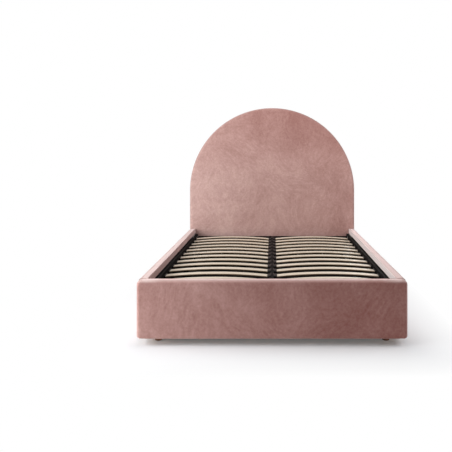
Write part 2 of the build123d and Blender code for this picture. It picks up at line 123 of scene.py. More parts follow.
def length(name, description, default):
    """A size that the user can change."""
    return FloatProperty(
        name=name,
        description=description,
        subtype="DISTANCE",
        unit="LENGTH",
        precision=4,
        min=0,
        default=default,
    )


def share(name, description, default):
    """A share from none to all that the user can change."""
    return FloatProperty(
        name=name, description=description, subtype="FACTOR", min=0, max=1, default=default
    )


def power(name, description, default):
    """A lamp's power that the user can change."""
    return FloatProperty(
        name=name, description=description, subtype="POWER", min=0, default=default
    )


class BedVelvet(bpy.types.PropertyGroup):
    """Sizes and colours of the velvet panels."""

    # Deep and pale are the velvet's two tones; its pattern mixes them, and painted light and shade
    # shift the mix.
    deep: colour("Deep", "Velvet where the pile lies away from the light", 150, 88, 78)
    pale: colour("Pale", "Velvet where the pile is brushed towards the light", 203, 172, 165)
    # Painted highlight: the colour blended onto the right rail's inner wall and the rails' tops.
    bright: colour("Bright", "Velvet leaning full to the light", 248, 238, 236)
    # Painted light: the velvet is made paler towards the left end and deeper towards the right.
    drift: share("Drift", "How much paler the nap lies from the middle to the left end", 0.17)
    # Painted shade: the headboard's top is made deeper.
    crown: share("Crown", "How much deeper the nap lies at the headboard's top", 0.3)
    # Painted highlight: how far the rails' tops are blended to the bright colour.
    crest: share("Crest", "How bright the nap stands on the rails' tops", 0.34)
    sheen: share("Sheen", "Strength of the pile's glow at its edges", 1.0)
    rail_radius: length("Rail edge radius", "Radius of the rails' upper edges", 18 * MM)
    corner_radius: length("Corner radius", "Radius of the foot rail's front corners", 26 * MM)
    headboard_radius: length(
        "Headboard edge radius", "Radius of the headboard's front edge", 36 * MM
    )
    inner_radius: length("Inner edge radius", "Radius of the foot rail's inner upper edge", 5 * MM)
    hem_radius: length("Hem radius", "Radius where the cloth turns under", 6 * MM)
    corner_hem: length("Corner hem", "Radius of the foot rail's lower front corners", 15 * MM)
    crisp_radius: length("Crisp edge radius", "Radius of the side rails' inner upper edge", 7 * MM)
    butt_radius: length("Butt radius", "Radius of the side rails' ends", 3 * MM)
    draw_in: length("Draw-in", "How far the faces fall back towards their edges", 2.5 * MM)
    swell: length("Swell", "Depth of the slow waves in the foam", 1.6 * MM)
    cell: length("Cell", "Mesh cell on the flat faces", 14 * MM)


class BedSlats(bpy.types.PropertyGroup):
    """Sizes and colours of the sprung slats."""

    face: colour("Face", "Birch face veneer", 228, 216, 201)
    streak: colour("Streak", "Darker fibres in the veneer", 206, 188, 162)
    # The plies are darker than the face veneer: partly the real plies and glue lines, partly
    # painted shade on the slats' front edges.
    ply: colour("Ply", "Pale plies on the slats' edges", 160, 138, 110)
    glue: colour("Glue line", "Dark plies on the slats' edges", 92, 70, 50)
    edge_radius: length("Edge radius", "Rounding of the long edges", 2.4 * MM)
    steps: IntProperty(name="Steps", description="Cells along each slat", default=36, min=4)


class BedBase(bpy.types.PropertyGroup):
    """Sizes and colours of the steel base, its holders and the lift."""

    paint: colour("Base paint", "Powder coat on the tubes", 14, 13, 13)
    plastic: colour("Holder plastic", "Slat holders and tube caps", 38, 34, 33)
    zinc: colour("Zinc", "Plated steel of brackets, plates and pins", 186, 188, 188)
    strut: colour("Strut paint", "Paint on the gas cylinders", 22, 22, 23)
    chrome: colour("Rod", "Polished strut rods", 212, 212, 214)
    tube_radius: length("Tube corner radius", "Outer corners of the tubes", 2.5 * MM)
    centre_radius: length("Centre tube radius", "Outer corners of the centre tube", 5 * MM)
    plastic_radius: length("Holder edge radius", "Edges of the moulded holders", 0.5 * MM)
    plate_radius: length("Plate edge radius", "Edges of plates and brackets", 0.4 * MM)
    weld_radius: length("Weld radius", "Half width of the weld beads", 2.2 * MM)
    weld_ripple: length("Weld ripple", "Distance from one ripple of a weld to the next", 1.6 * MM)
    cap_flange: length("Cap flange", "Thickness of the tube caps' flanges", 1.8 * MM)
    cap_depth: length("Cap depth", "How far the caps reach into the tubes", 12 * MM)
    screw_pitch: length("Screw pitch", "Distance between the screws of the ledges", 240 * MM)
    bolt_gap: length("Bolt gap", "Distance between the hinge plates' bolts", 50 * MM)
    bolt_rise: length("Bolt rise", "Height between the hinge plates' bolts", 100 * MM)


class BedTimber(bpy.types.PropertyGroup):
    """Sizes and colours of the boards, battens and feet."""

    foot_wood: colour("Foot wood", "Stained beech of the feet", 158, 112, 84)
    foot_grain: colour("Foot grain", "Dark grain in the feet", 112, 72, 50)
    pine: colour("Pine", "Pale wood of battens and ledges", 222, 193, 150)
    pine_grain: colour("Pine grain", "Rings in the battens and ledges", 190, 142, 88)
    board: colour("Board", "Pressed board inside the panels", 196, 168, 128)
    chip: colour("Chip", "Dark chips in the pressed board", 150, 116, 78)
    # Near-black lining: partly a real coated lining, partly painted shade for the box's dark
    # inside.
    lining: colour("Box lining", "Coated floor and lined walls of the storage box", 15, 14, 14)
    # Painted shade: the lining's strip above the steel base stands in for the shade in the gap
    # there.
    lining_rise: length(
        "Lining rise", "How far the box's lining reaches above the steel base", 5 * MM
    )
    back_cloth: colour("Back cloth", "Spun cloth behind the headboard", 40, 39, 41)
    edge_radius: length("Edge radius", "Eased edges of boards and battens", 1.0 * MM)
    hem: length("Hem", "Width of the back cloth's folded hem", 12 * MM)
    cloth_sag: length("Cloth sag", "How far the back cloth hangs slack in its middle", 5 * MM)
    staple_pitch: length(
        "Staple pitch", "Distance between the staples round the back cloth", 40 * MM
    )
    collar: length("Collar", "Height of the feet's upper collar", 6 * MM)
    glide: length("Glide", "Height of the pads under the feet", 1.5 * MM)


class BedStage(bpy.types.PropertyGroup):
    """Camera, lamps and floor."""

    floor: colour("Floor", "Plain pale floor", 240, 242, 245)
    key_power: power("Key", "Soft lamp at the left", 31)
    fill_power: power("Fill", "Soft lamp at front left", 70)
    side_power: power("Side", "Soft lamp at the right", 28)
    top_power: power("Top", "Soft lamp overhead", 54)
    back_power: power("Back", "Soft lamp behind the headboard", 90)
    room: FloatProperty(name="Room", description="Even light from all round", default=0.16, min=0)
    shadow_reach: length("Shadow reach", "How far from the bed the floor fades to white", 0.42)
    eye_distance: length("Eye distance", "Camera's distance before the bed's middle", 4.23)
    eye_height: length("Eye height", "Camera's height over the floor", 1.252)


class BedSettings(bpy.types.PropertyGroup):
    """All settings of the bed."""

    velvet: PointerProperty(type=BedVelvet, name="Velvet", description="Velvet panels")
    slats: PointerProperty(type=BedSlats, name="Slats", description="Sprung slats")
    base: PointerProperty(type=BedBase, name="Base", description="Steel base and lift")
    timber: PointerProperty(type=BedTimber, name="Timber", description="Boards and feet")
    stage: PointerProperty(type=BedStage, name="Stage", description="Camera, lamps and floor")


def settings():
    """The bed's settings in this scene."""
    return bpy.context.scene.bed


# Shader helpers


def fill(tree, socket, value):
    """Links a socket to another node's socket, or sets it; a colour gets its full alpha."""
    if isinstance(value, bpy.types.NodeSocket):
        tree.links.new(value, socket)
    elif socket.type == "RGBA":
        socket.default_value = (*value[:3], 1)
    else:
        socket.default_value = value


def node(tree, kind, inputs=None, **properties):
    """Adds a node, sets its properties and fills its inputs with values or sockets."""
    made = tree.nodes.new(kind)
    for key, value in properties.items():
        setattr(made, key, value)
    for key, value in (inputs or {}).items():
        fill(tree, made.inputs[key], value)
    return made


def maths(tree, operation, first, second=0.5, third=0.5):
    """The result of one sum on values or sockets."""
    made = node(tree, "ShaderNodeMath", {0: first, 1: second, 2: third}, operation=operation)
    return made.outputs[0]


def times(tree, first, second):
    """The product of two values or sockets."""
    return maths(tree, "MULTIPLY", first, second)


def plus(tree, first, *others):
    """The sum of values or sockets."""
    total = first
    for other in others:
        total = maths(tree, "ADD", total, other)
    return total


def weighed(tree, masks, **weights):
    """The sum of the named masks, each times its weight."""
    total = 0.0
    for name, weight in weights.items():
        total = maths(tree, "MULTIPLY_ADD", masks[name], weight, total)
    return total


def mapped(tree, value, from_low, from_high, to_low=0.0, to_high=1.0):
    """A value stretched from one range to another and held inside it."""
    inputs = {
        "Value": value,
        "From Min": from_low,
        "From Max": from_high,
        "To Min": to_low,
        "To Max": to_high,
    }
    return node(tree, "ShaderNodeMapRange", inputs).outputs[0]


def split(tree, vector):
    """A vector's three parts."""
    return node(tree, "ShaderNodeSeparateXYZ", {0: vector}).outputs


def noise_at(tree, vector, scale, detail=3.0, roughness=0.5, distortion=0.0):
    """Noise from none to all over a vector."""
    inputs = {
        "Vector": vector,
        "Scale": scale,
        "Detail": detail,
        "Roughness": roughness,
        "Distortion": distortion,
    }
    return node(tree, "ShaderNodeTexNoise", inputs).outputs[0]


def stretched(tree, vector, scale=(1, 1, 1), degrees=(0, 0, 0)):
    """The vector turned and stretched."""
    turn = [math.radians(angle) for angle in degrees]
    inputs = {"Vector": vector, "Rotation": turn, "Scale": scale}
    return node(tree, "ShaderNodeMapping", inputs).outputs[0]


def drawn_out(tree, vector, degrees, stretch):
    """The vector for a pattern that is turned about Y and then drawn out along its own Z."""
    turn = (0, math.radians(degrees), 0)
    inputs = {"Vector": vector, "Rotation": turn, "Scale": (1.0, 1.0, stretch)}
    return node(tree, "ShaderNodeMapping", inputs, vector_type="TEXTURE").outputs[0]


def blended(tree, factor, first, second):
    """A colour between two colours."""
    made = node(tree, "ShaderNodeMix", {"Factor": factor}, data_type="RGBA")
    for name, value in (("A_Color", first), ("B_Color", second)):
        fill(tree, next(s for s in made.inputs if s.identifier == name), value)
    return next(s for s in made.outputs if s.identifier == "Result_Color")


def titled(name):
    """A name in code as a socket's or a group's title."""
    return name.replace("_", " ").title()


def new_group(build, **scales):
    """A shader node group over a vector, with named scales, and its inputs by name."""
    tree = bpy.data.node_groups.new(titled(build.__name__), "ShaderNodeTree")
    add_socket = tree.interface.new_socket
    add_socket(name="Vector", in_out="INPUT", socket_type="NodeSocketVector")
    for name, default in scales.items():
        socket = add_socket(name=titled(name), in_out="INPUT", socket_type="NodeSocketFloat")
        socket.default_value = default
    return tree, tree.nodes.new("NodeGroupInput").outputs


def close_group(tree, **results):
    """Gives the group its outputs, and joins the results to them."""
    for name in results:
        tree.interface.new_socket(name=name, in_out="OUTPUT", socket_type="NodeSocketFloat")
    node(tree, "NodeGroupOutput", results)
    return tree


def group_node(tree, build, vector, **scales):
    """The named effect in a material, built once and fed with this material's own scales."""
    shared = bpy.data.node_groups.get(titled(build.__name__)) or build()
    inputs = {"Vector": vector, **{titled(name): scale for name, scale in scales.items()}}
    return node(tree, "ShaderNodeGroup", inputs, node_tree=shared).outputs


# Effects that several materials share. A mask is stretched to run from 0 to 1.

MASK_RANGE = (0.3, 0.7)
RING_RANGE = (0.32, 0.68)
STROKE_ANGLES = (-42, 34)
STROKE_STRETCH = 2.4
STROKE = {"detail": 4.0, "roughness": 0.64, "distortion": 0.3}
FLECK = {"detail": 3.0, "roughness": 0.62, "distortion": 0.3}
RING = {"detail": 4.0, "roughness": 0.6, "distortion": 0.6}
STROKE_FIELD = {"scale": 2.3, "detail": 1.0}
STROKE_TURN = (0.42, 0.58)


def brushed_pile():
    """Velvet's pile: broad patches, slanting brush strokes, soft flecks and fine pile."""
    tree, given = new_group(
        brushed_pile, patch_scale=3.0, stroke_scale=30.0, fleck_scale=60.0, pile_scale=900.0
    )
    vector = given["Vector"]
    drift = node(tree, "ShaderNodeTexNoise", {"Vector": vector, "Scale": 1.7, "Detail": 1.0})
    half = (0.5, 0.5, 0.5)
    inputs = {0: drift.outputs["Color"], 1: half}
    centred = node(tree, "ShaderNodeVectorMath", inputs, operation="SUBTRACT").outputs[0]
    inputs = {0: centred, 1: half, 2: vector}
    pushed = node(tree, "ShaderNodeVectorMath", inputs, operation="MULTIPLY_ADD").outputs[0]
    patches = noise_at(tree, pushed, given["Patch Scale"], detail=2.5, distortion=0.25)
    falling, rising = [
        noise_at(
            tree, drawn_out(tree, pushed, degrees, STROKE_STRETCH), given["Stroke Scale"], **STROKE
        )
        for degrees in STROKE_ANGLES
    ]
    turned = mapped(tree, noise_at(tree, vector, **STROKE_FIELD), *STROKE_TURN)
    change = maths(tree, "SUBTRACT", rising, falling)
    strokes = maths(tree, "MULTIPLY_ADD", turned, change, falling)
    flecks = noise_at(tree, vector, given["Fleck Scale"], **FLECK)
    return close_group(
        tree,
        Patches=mapped(tree, patches, *MASK_RANGE),
        Strokes=mapped(tree, strokes, *MASK_RANGE),
        Flecks=mapped(tree, flecks, *MASK_RANGE),
        Pile=noise_at(tree, vector, given["Pile Scale"], detail=2.0, roughness=0.7),
    )


def wood_grain():
    """Wood: slow rings with fine fibres drawn out along the first axis of the vector."""
    tree, given = new_group(wood_grain, ring_scale=30.0, fibre_scale=600.0)
    ring_vector, fibre_vector = [
        stretched(tree, given["Vector"], (along, 1.0, 1.0)) for along in (0.06, 0.02)
    ]
    rings = noise_at(tree, ring_vector, given["Ring Scale"], **RING)
    fibres = noise_at(tree, fibre_vector, given["Fibre Scale"], roughness=0.65)
    return close_group(
        tree,
        Rings=mapped(tree, rings, *RING_RANGE),
        Fibres=mapped(tree, fibres, *MASK_RANGE),
        Cloud=noise_at(tree, ring_vector, scale=9.0),
    )


def surface_grain():
    """Fine texture of paint, plastic and plating, with slow mottling."""
    tree, given = new_group(surface_grain, mottle_scale=12.0, grain_scale=900.0)
    mottle = noise_at(tree, given["Vector"], given["Mottle Scale"], detail=4.0, roughness=0.6)
    grain = noise_at(tree, given["Vector"], given["Grain Scale"], roughness=0.6)
    return close_group(tree, Mottle=mapped(tree, mottle, *MASK_RANGE), Grain=grain)


# Materials


def new_material(name):
    """An empty material, with its tree, its shader and its texture coordinates."""
    made = bpy.data.materials.new(FINISH_PREFIX + name)
    made.use_nodes = True
    tree = made.node_tree
    tree.nodes.clear()
    shader = tree.nodes.new("ShaderNodeBsdfPrincipled")
    node(tree, "ShaderNodeOutputMaterial", {"Surface": shader.outputs[0]})
    place = tree.nodes.new("ShaderNodeTexCoord").outputs
    return made, tree, shader, place


def dress_shader(tree, shader, base, roughness, height, depth, **constants):
    """Joins colour, roughness and relief to the shader, and sets its constant sockets."""
    relief = node(tree, "ShaderNodeBump", {"Height": height, "Strength": 1.0, "Distance": depth})
    values = {"Base Color": base, "Roughness": roughness, "Normal": relief.outputs[0]}
    values.update((name.replace("_", " "), value) for name, value in constants.items())
    for name, value in values.items():
        fill(tree, shader.inputs[name], value)


# Where painted light and shade fall on the velvet. Spans and ways on to a rail are metres to the
# right of the bed's middle or over the floor, and a facing range says how far a face looks that
# way.

BED_SPAN = (-0.87, 0.87)
CROWN_SPAN = (0.9, 1.68)
TO_LEFT_RAIL = (-0.5, -0.75)
TO_RIGHT_RAIL = (0.5, 0.75)
RIM_TO_TOP = (0.89, 0.8)
ONTO_RAIL = (0.7, 0.8)
FACING_RIGHT = (0.1, 0.8)
FACING_LEFT = (0.0, -0.7)
FACING_UP = (0.3, 1.0)

# How it is painted: left walls deeper as painted shade, tops paler as painted light with little of
# the pattern, and the foot rail keeps little of the painted top highlight. The lay is the pattern,
# from -1 to 1.

LEFT_WALL_SHADE = -0.5
TOP_PAINTED_LIGHT = 0.1
TOP_PATTERN = 0.2
FOOT_TOP_HIGHLIGHT = 0.2
LAY_RANGE = (0.2, 0.86)
LAY_IN_NAP = 0.15
LAY_IN_VALUE = 0.12


def velvet_vector(tree, across, back, height):
    """The velvet's own vector, in which the pattern shows on faces of every direction."""
    sideways_share = 0.3
    depth = times(tree, maths(tree, "SUBTRACT", across, back), sideways_share)
    inputs = {0: plus(tree, across, back), 1: depth, 2: height}
    return node(tree, "ShaderNodeCombineXYZ", inputs).outputs[0]


def leaning_mask(tree, side, up, across, crest):
    """Painted highlight: on right-hand walls that look left, and on the rails' tops."""
    wall = times(tree, mapped(tree, side, *FACING_LEFT), mapped(tree, across, *TO_RIGHT_RAIL))
    outward = maths(tree, "ABSOLUTE", across)
    top = times(tree, up, mapped(tree, outward, *RIM_TO_TOP, 0.0, crest))
    top = times(tree, top, mapped(tree, outward, *ONTO_RAIL, FOOT_TOP_HIGHLIGHT, 1.0))
    return maths(tree, "MAXIMUM", wall, top)


def velvet_material(name, nap, lean):
    """Brushed rose velvet: two tones mixed by its pattern, with painted light and shade laid over
    it.
    """
    look = settings().velvet
    made, tree, shader, place = new_material(name)
    across, back, height = split(tree, place["Object"])
    facing_side, _, up = split(tree, place["Normal"])
    pile = group_node(
        tree,
        brushed_pile,
        velvet_vector(tree, across, back, height),
        patch_scale=3.2,
        stroke_scale=33.0,
        fleck_scale=60.0,
        pile_scale=700.0,
    )
    # Painted shade: the left rail's inner wall, facing away from the light, is made deeper.
    left_wall = mapped(tree, facing_side, *FACING_RIGHT, 0.0, LEFT_WALL_SHADE)
    # Painted light and shade: paler tops and left end, deeper right end, left inner wall and
    # headboard top.
    painted_light_and_shade = plus(
        tree,
        mapped(tree, up, *FACING_UP, nap, nap + TOP_PAINTED_LIGHT),
        times(tree, left_wall, mapped(tree, across, *TO_LEFT_RAIL)),
        mapped(tree, across, *BED_SPAN, look.drift, -look.drift),
        mapped(tree, height, *CROWN_SPAN, 0.0, -look.crown),
    )
    lay = weighed(tree, pile, Strokes=0.36, Patches=0.32, Flecks=0.26, Pile=0.1)
    shown = mapped(tree, up, *FACING_UP, 1.0, TOP_PATTERN)
    lay = times(tree, mapped(tree, lay, *LAY_RANGE, -1.0, 1.0), shown)
    paleness = maths(tree, "MULTIPLY_ADD", lay, LAY_IN_NAP, painted_light_and_shade)
    tone = blended(tree, paleness, look.deep, look.pale)
    value = maths(tree, "MULTIPLY_ADD", lay, LAY_IN_VALUE, 1.0)
    tone = node(tree, "ShaderNodeHueSaturation", {"Color": tone, "Value": value}).outputs[0]
    # Painted highlight on the right rail's inner wall and the rails' tops.
    leaning = times(tree, leaning_mask(tree, facing_side, up, across, look.crest), lean)
    tone = blended(tree, leaning, tone, look.bright)
    dress_shader(
        tree,
        shader,
        tone,
        roughness=mapped(tree, pile["Strokes"], 0.0, 1.0, 0.78, 0.92),
        height=weighed(tree, pile, Flecks=0.3, Strokes=0.35, Pile=0.25),
        depth=0.9 * MM,
        Sheen_Weight=look.sheen,
        Sheen_Roughness=0.45,
        Sheen_Tint=(1.0, 0.86, 0.84, 1.0),
        Specular_IOR_Level=0.2,
    )
    return made


def birch_material(name):
    """Birch face veneer of the slats, along the slats' own length."""
    look = settings().slats
    made, tree, shader, place = new_material(name)
    grain = group_node(tree, wood_grain, place["UV"], ring_scale=55.0, fibre_scale=900.0)
    tint = weighed(tree, grain, Fibres=0.14, Rings=0.3, Cloud=0.4)
    tone = blended(tree, mapped(tree, tint, 0.15, 1.0), look.face, look.streak)
    dress_shader(
        tree,
        shader,
        tone,
        roughness=mapped(tree, grain["Fibres"], 0.0, 1.0, 0.54, 0.66),
        height=grain["Fibres"],
        depth=0.05 * MM,
        Specular_IOR_Level=0.3,
    )
    return made


def ply_edge_material(name):
    """Glued plies on the slats' edges, by the slats' own thickness; darker in part as painted
    shade.
    """
    look = settings().slats
    made, tree, shader, place = new_material(name)
    through = split(tree, place["UV"])[1]
    ply_pitch = 1.6 * MM
    wave = maths(tree, "SINE", times(tree, through, 2 * math.pi / ply_pitch))
    grain = group_node(tree, wood_grain, place["UV"], ring_scale=80.0, fibre_scale=900.0)
    layers = mapped(tree, wave, -1.0, 1.0, 0.0, 0.75)
    plies = maths(tree, "MULTIPLY_ADD", grain["Fibres"], 0.35, layers)
    tone = blended(tree, mapped(tree, plies, 0.1, 1.0), look.ply, look.glue)
    dress_shader(tree, shader, tone, roughness=0.7, height=plies, depth=0.15 * MM)
    return made


def timber_material(name, face, dark, ring_scale, roughness, turn, coat=0.0):
    """Solid wood in two of the timber's colours, with its grain turned along the piece."""
    look = settings().timber
    made, tree, shader, place = new_material(name)
    vector = stretched(tree, place["Object"], degrees=turn)
    grain = group_node(tree, wood_grain, vector, ring_scale=ring_scale, fibre_scale=700.0)
    tint = mapped(tree, weighed(tree, grain, Fibres=0.3, Rings=0.6), 0.1, 0.85)
    tone = blended(tree, tint, getattr(look, face), getattr(look, dark))
    smoothest, roughest = roughness - 0.06, roughness + 0.08
    dress_shader(
        tree,
        shader,
        tone,
        roughness=mapped(tree, grain["Fibres"], 0.0, 1.0, smoothest, roughest),
        height=grain["Fibres"],
        depth=0.2 * MM,
        Coat_Weight=coat,
        Coat_Roughness=0.3,
    )
    return made


def board_material(name):
    """Pressed board of fine chips."""
    look = settings().timber
    made, tree, shader, place = new_material(name)
    chips = node(tree, "ShaderNodeTexVoronoi", {"Vector": place["Object"], "Scale": 260.0})
    grain = group_node(
        tree, surface_grain, place["Object"], mottle_scale=9.0, grain_scale=500.0
    )
    chip = node(tree, "ShaderNodeSeparateColor", {0: chips.outputs["Color"]}).outputs[0]
    masks = {"Chip": chip, "Mottle": grain["Mottle"]}
    tone = blended(tree, weighed(tree, masks, Chip=0.6, Mottle=0.35), look.board, look.chip)
    dress_shader(tree, shader, tone, roughness=0.8, height=grain["Grain"], depth=0.2 * MM)
    return made


def shaded(tone, factor):
    """A colour made darker or paler."""
    return [min(1, part * factor) for part in tone]


def grained_material(
    name, group, tone, shades, roughness, spread, depth, grain_scale, mottle_scale, **constants
):
    """Paint, plastic, plating or coating: two shades of a setting's colour over a fine grain."""
    dark, pale = [shaded(getattr(getattr(settings(), group), tone), factor) for factor in shades]
    made, tree, shader, place = new_material(name)
    grain = group_node(
        tree,
        surface_grain,
        place["Object"],
        mottle_scale=mottle_scale,
        grain_scale=grain_scale,
    )
    mixed = blended(tree, grain["Mottle"], dark, pale)
    rough = mapped(tree, grain["Mottle"], 0.0, 1.0, roughness - spread, roughness + spread)
    dress_shader(tree, shader, mixed, rough, grain["Grain"], depth, **constants)
    return made


def spun_cloth_material(name):
    """Spun cloth with its grid of pressed dots."""
    look = settings().timber
    made, tree, shader, place = new_material(name)
    turned = stretched(tree, place["Object"], degrees=(0, 45, 0))
    inputs = {"Vector": turned, "Scale": 420.0, "Randomness": 0.0}
    dots = node(tree, "ShaderNodeTexVoronoi", inputs).outputs["Distance"]
    grain = group_node(
        tree, surface_grain, place["Object"], mottle_scale=7.0, grain_scale=1400.0
    )
    masks = {"Dot": mapped(tree, dots, 0.15, 0.45), **dict(grain.items())}
    tint = weighed(tree, masks, Dot=0.4, Mottle=0.5)
    tone = blended(tree, tint, look.back_cloth, shaded(look.back_cloth, 1.9))
    lift = weighed(tree, masks, Dot=0.5, Grain=0.5)
    dress_shader(tree, shader, tone, roughness=0.85, height=lift, depth=0.15 * MM)
    return made


MATERIAL_MAKERS = {
    # The headboard's paler nap share is partly its real tone and partly painted light, for the
    # brighter light on it.
    "velvet_rails": partial(velvet_material, nap=0.34, lean=1.0),
    "velvet_headboard": partial(velvet_material, nap=0.66, lean=0.2),
    "birch_face": birch_material,
    "birch_plies": ply_edge_material,
    "pressed_board": board_material,
    "spun_cloth": spun_cloth_material,
    "foot_wood": partial(
        timber_material,
        face="foot_wood",
        dark="foot_grain",
        ring_scale=120.0,
        roughness=0.42,
        turn=(0, 90, 0),
        coat=0.25,
    ),
    "pine_along": partial(
        timber_material,
        face="pine",
        dark="pine_grain",
        ring_scale=45.0,
        roughness=0.62,
        turn=(0, 0, 90),
    ),
    # Near-black lining of the storage box, partly painted shade.
    "box_lining": partial(
        grained_material,
        group="timber",
        tone="lining",
        shades=(1.0, 1.25),
        roughness=0.55,
        spread=0.08,
        depth=0.08 * MM,
        grain_scale=350.0,
        mottle_scale=4.0,
        Specular_IOR_Level=0.08,
    ),
    "base_paint": partial(
        grained_material,
        group="base",
        tone="paint",
        shades=(1.0, 1.3),
        roughness=0.6,
        spread=0.07,
        depth=0.12 * MM,
        grain_scale=650.0,
        mottle_scale=14.0,
        Specular_IOR_Level=0.04,
    ),
    "holder_plastic": partial(
        grained_material,
        group="base",
        tone="plastic",
        shades=(1.0, 1.3),
        roughness=0.55,
        spread=0.06,
        depth=0.06 * MM,
        grain_scale=1500.0,
        mottle_scale=20.0,
        Specular_IOR_Level=0.18,
    ),
    "zinc": partial(
        grained_material,
        group="base",
        tone="zinc",
        shades=(0.8, 1.0),
        roughness=0.36,
        spread=0.1,
        depth=0.03 * MM,
        grain_scale=800.0,
        mottle_scale=60.0,
        Metallic=1.0,
    ),
    "strut_paint": partial(
        grained_material,
        group="base",
        tone="strut",
        shades=(1.0, 1.3),
        roughness=0.3,
        spread=0.05,
        depth=0.03 * MM,
        grain_scale=900.0,
        mottle_scale=12.0,
        Coat_Weight=0.3,
        Coat_Roughness=0.2,
    ),
    "rod_chrome": partial(
        grained_material,
        group="base",
        tone="chrome",
        shades=(0.95, 1.0),
        roughness=0.1,
        spread=0.03,
        depth=0.004 * MM,
        grain_scale=1200.0,
        mottle_scale=30.0,
        Metallic=1.0,
    ),
}


def material(name):
    """A material by name, made the first time it is asked for."""
    return bpy.data.materials.get(FINISH_PREFIX + name) or MATERIAL_MAKERS[name](name)


# Mesh helpers


def held(value, low, high):
    """The value kept between two limits."""
    return min(max(value, low), high)


def smooth_step(value):
    """Rises gently from none to all as the value goes from 0 to 1."""
    part = held(value, 0.0, 1.0)
    return part * part * (3 - 2 * part)


def finish_piece(bm, name, body, slot, materials, stands_for=(), angle=HARD_ANGLE):
    """Makes a named piece of the mesh, which rides on a body and takes CAD nodes' place."""
    mesh = bpy.data.meshes.new(name)
    bm.to_mesh(mesh)
    bm.free()
    for label in materials:
        mesh.materials.append(material(label))
    mesh.shade_smooth()
    mesh.set_sharp_from_angle(angle=angle)
    piece = bpy.data.objects.new(name, mesh)
    bpy.context.scene.collection.objects.link(piece)
    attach(piece, body)
    if stands_for:
        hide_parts(*stands_for)
    return piece


def dress_node(name, label):
    """Gives a CAD node, whose shape is right, its material."""
    piece = NODES[name]
    if not piece.data.materials:
        piece.data.materials.append(None)
    for index in range(len(piece.material_slots)):
        piece.material_slots[index].material = material(label)


def clean_copy(name):
    """A CAD node's mesh with its loose triangles merged into whole faces."""
    bm = bmesh.new()
    bm.from_mesh(NODES[name].data)
    bmesh.ops.remove_doubles(bm, verts=bm.verts, dist=SAME_POINT)
    bmesh.ops.dissolve_limit(bm, angle_limit=FLAT_ANGLE, verts=bm.verts, edges=bm.edges)
    return bm


def hard_edges(bm, shortest, outer_only):
    """Edges between faces that meet at a sharp angle."""
    found = []
    for edge in bm.edges:
        if len(edge.link_faces) != 2 or edge.calc_length() < shortest:
            continue
        if edge.calc_face_angle() > HARD_ANGLE and (edge.is_convex or not outer_only):
            found.append(edge)
    return found


def ease(bm, edges, radius, segments=2):
    """Rounds edges."""
    bmesh.ops.bevel(
        bm,
        geom=edges,
        offset=radius,
        offset_type="OFFSET",
        segments=segments,
        profile=0.5,
        affect="EDGES",
        clamp_overlap=True,
        material=-1,
    )


def eased_node(name, label, slot, radius, segments=2, shortest=0.0, outer_only=False):
    """Stands for a CAD node with the same shape, its hard edges rounded."""
    bm = clean_copy(name)
    ease(bm, hard_edges(bm, shortest, outer_only), radius, segments)
    finish_piece(bm, f"{name}_finished", NODES[name]["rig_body"], slot, [label], [name])


def solids_of(name):
    """Lowest and highest corners of each separate solid of a CAD node."""
    bm = clean_copy(name)
    left = set(bm.verts)
    boxes = []
    while left:
        reached, corners = [left.pop()], []
        while reached:
            vertex = reached.pop()
            corners.append(vertex.co.copy())
            near = {edge.other_vert(vertex) for edge in vertex.link_edges} & left
            left -= near
            reached.extend(near)
        axes = list(zip(*corners))
        boxes.append([Vector([pick(places) for places in axes]) for pick in (min, max)])
    bm.free()
    return sorted(boxes, key=lambda ends: tuple(ends[0]))


def lathed(profile, steps=32):
    """A form turned about Z from its profile of radius and height."""
    bm = bmesh.new()
    points = [bm.verts.new((radius, 0, height)) for radius, height in profile]
    line = [bm.edges.new(pair) for pair in zip(points, points[1:])]
    bmesh.ops.spin(
        bm,
        geom=points + line,
        cent=(0, 0, 0),
        axis=(0, 0, 1),
        angle=2 * math.pi,
        steps=steps,
        use_merge=True,
    )
    bmesh.ops.remove_doubles(bm, verts=bm.verts, dist=SAME_POLE)
    bmesh.ops.recalc_face_normals(bm, faces=bm.faces)
    return bm


def in_mm(*points, start=0.0):
    """A profile's points, given in millimetres of radius and of height past a start."""
    return [(radius * MM, start + height * MM) for radius, height in points]


def eased_block(size, radius, segments=2):
    """A box about the origin with rounded edges."""
    bm = bmesh.new()
    bmesh.ops.create_cube(bm, size=1.0, matrix=Matrix.Diagonal((*size, 1)))
    ease(bm, list(bm.edges), radius, segments)
    return bm


def add_copies(bm, part, places, index=0):
    """Adds a copy of a part at each place, with its material's index, and frees the part."""
    for face in part.faces:
        face.material_index = index
    mesh = bpy.data.meshes.new("copies")
    for place in places:
        part.to_mesh(mesh)
        mesh.transform(place)
        bm.from_mesh(mesh)
    bpy.data.meshes.remove(mesh)
    part.free()


def copies_of(part, places):
    """A mesh of a part's copies."""
    bm = bmesh.new()
    add_copies(bm, part, places)
    return bm


def facing(place, direction):
    """A place whose Z axis points along a direction."""
    turn = Vector(direction).to_track_quat("Z", "Y").to_matrix().to_4x4()
    return Matrix.Translation(place) @ turn


# How many grid lines follow each rounded edge of a rail.

EDGE_ROWS = 7


def graded_places(low, high, radius, cell, extra=()):
    """Grid lines from low to high: close over both rounded edges, about a cell apart between."""
    flat = high - low - 2 * radius
    steps = max(1, round(flat / cell))
    middle = [low + radius + flat * index / steps for index in range(steps + 1)]
    middle = [line for line in middle if all(abs(line - other) > cell / 4 for other in extra)]
    bend = [radius * (1 - math.cos(QUARTER * row / EDGE_ROWS)) for row in range(EDGE_ROWS)]
    return sorted([low + b for b in bend] + middle + list(extra) + [high - b for b in bend])


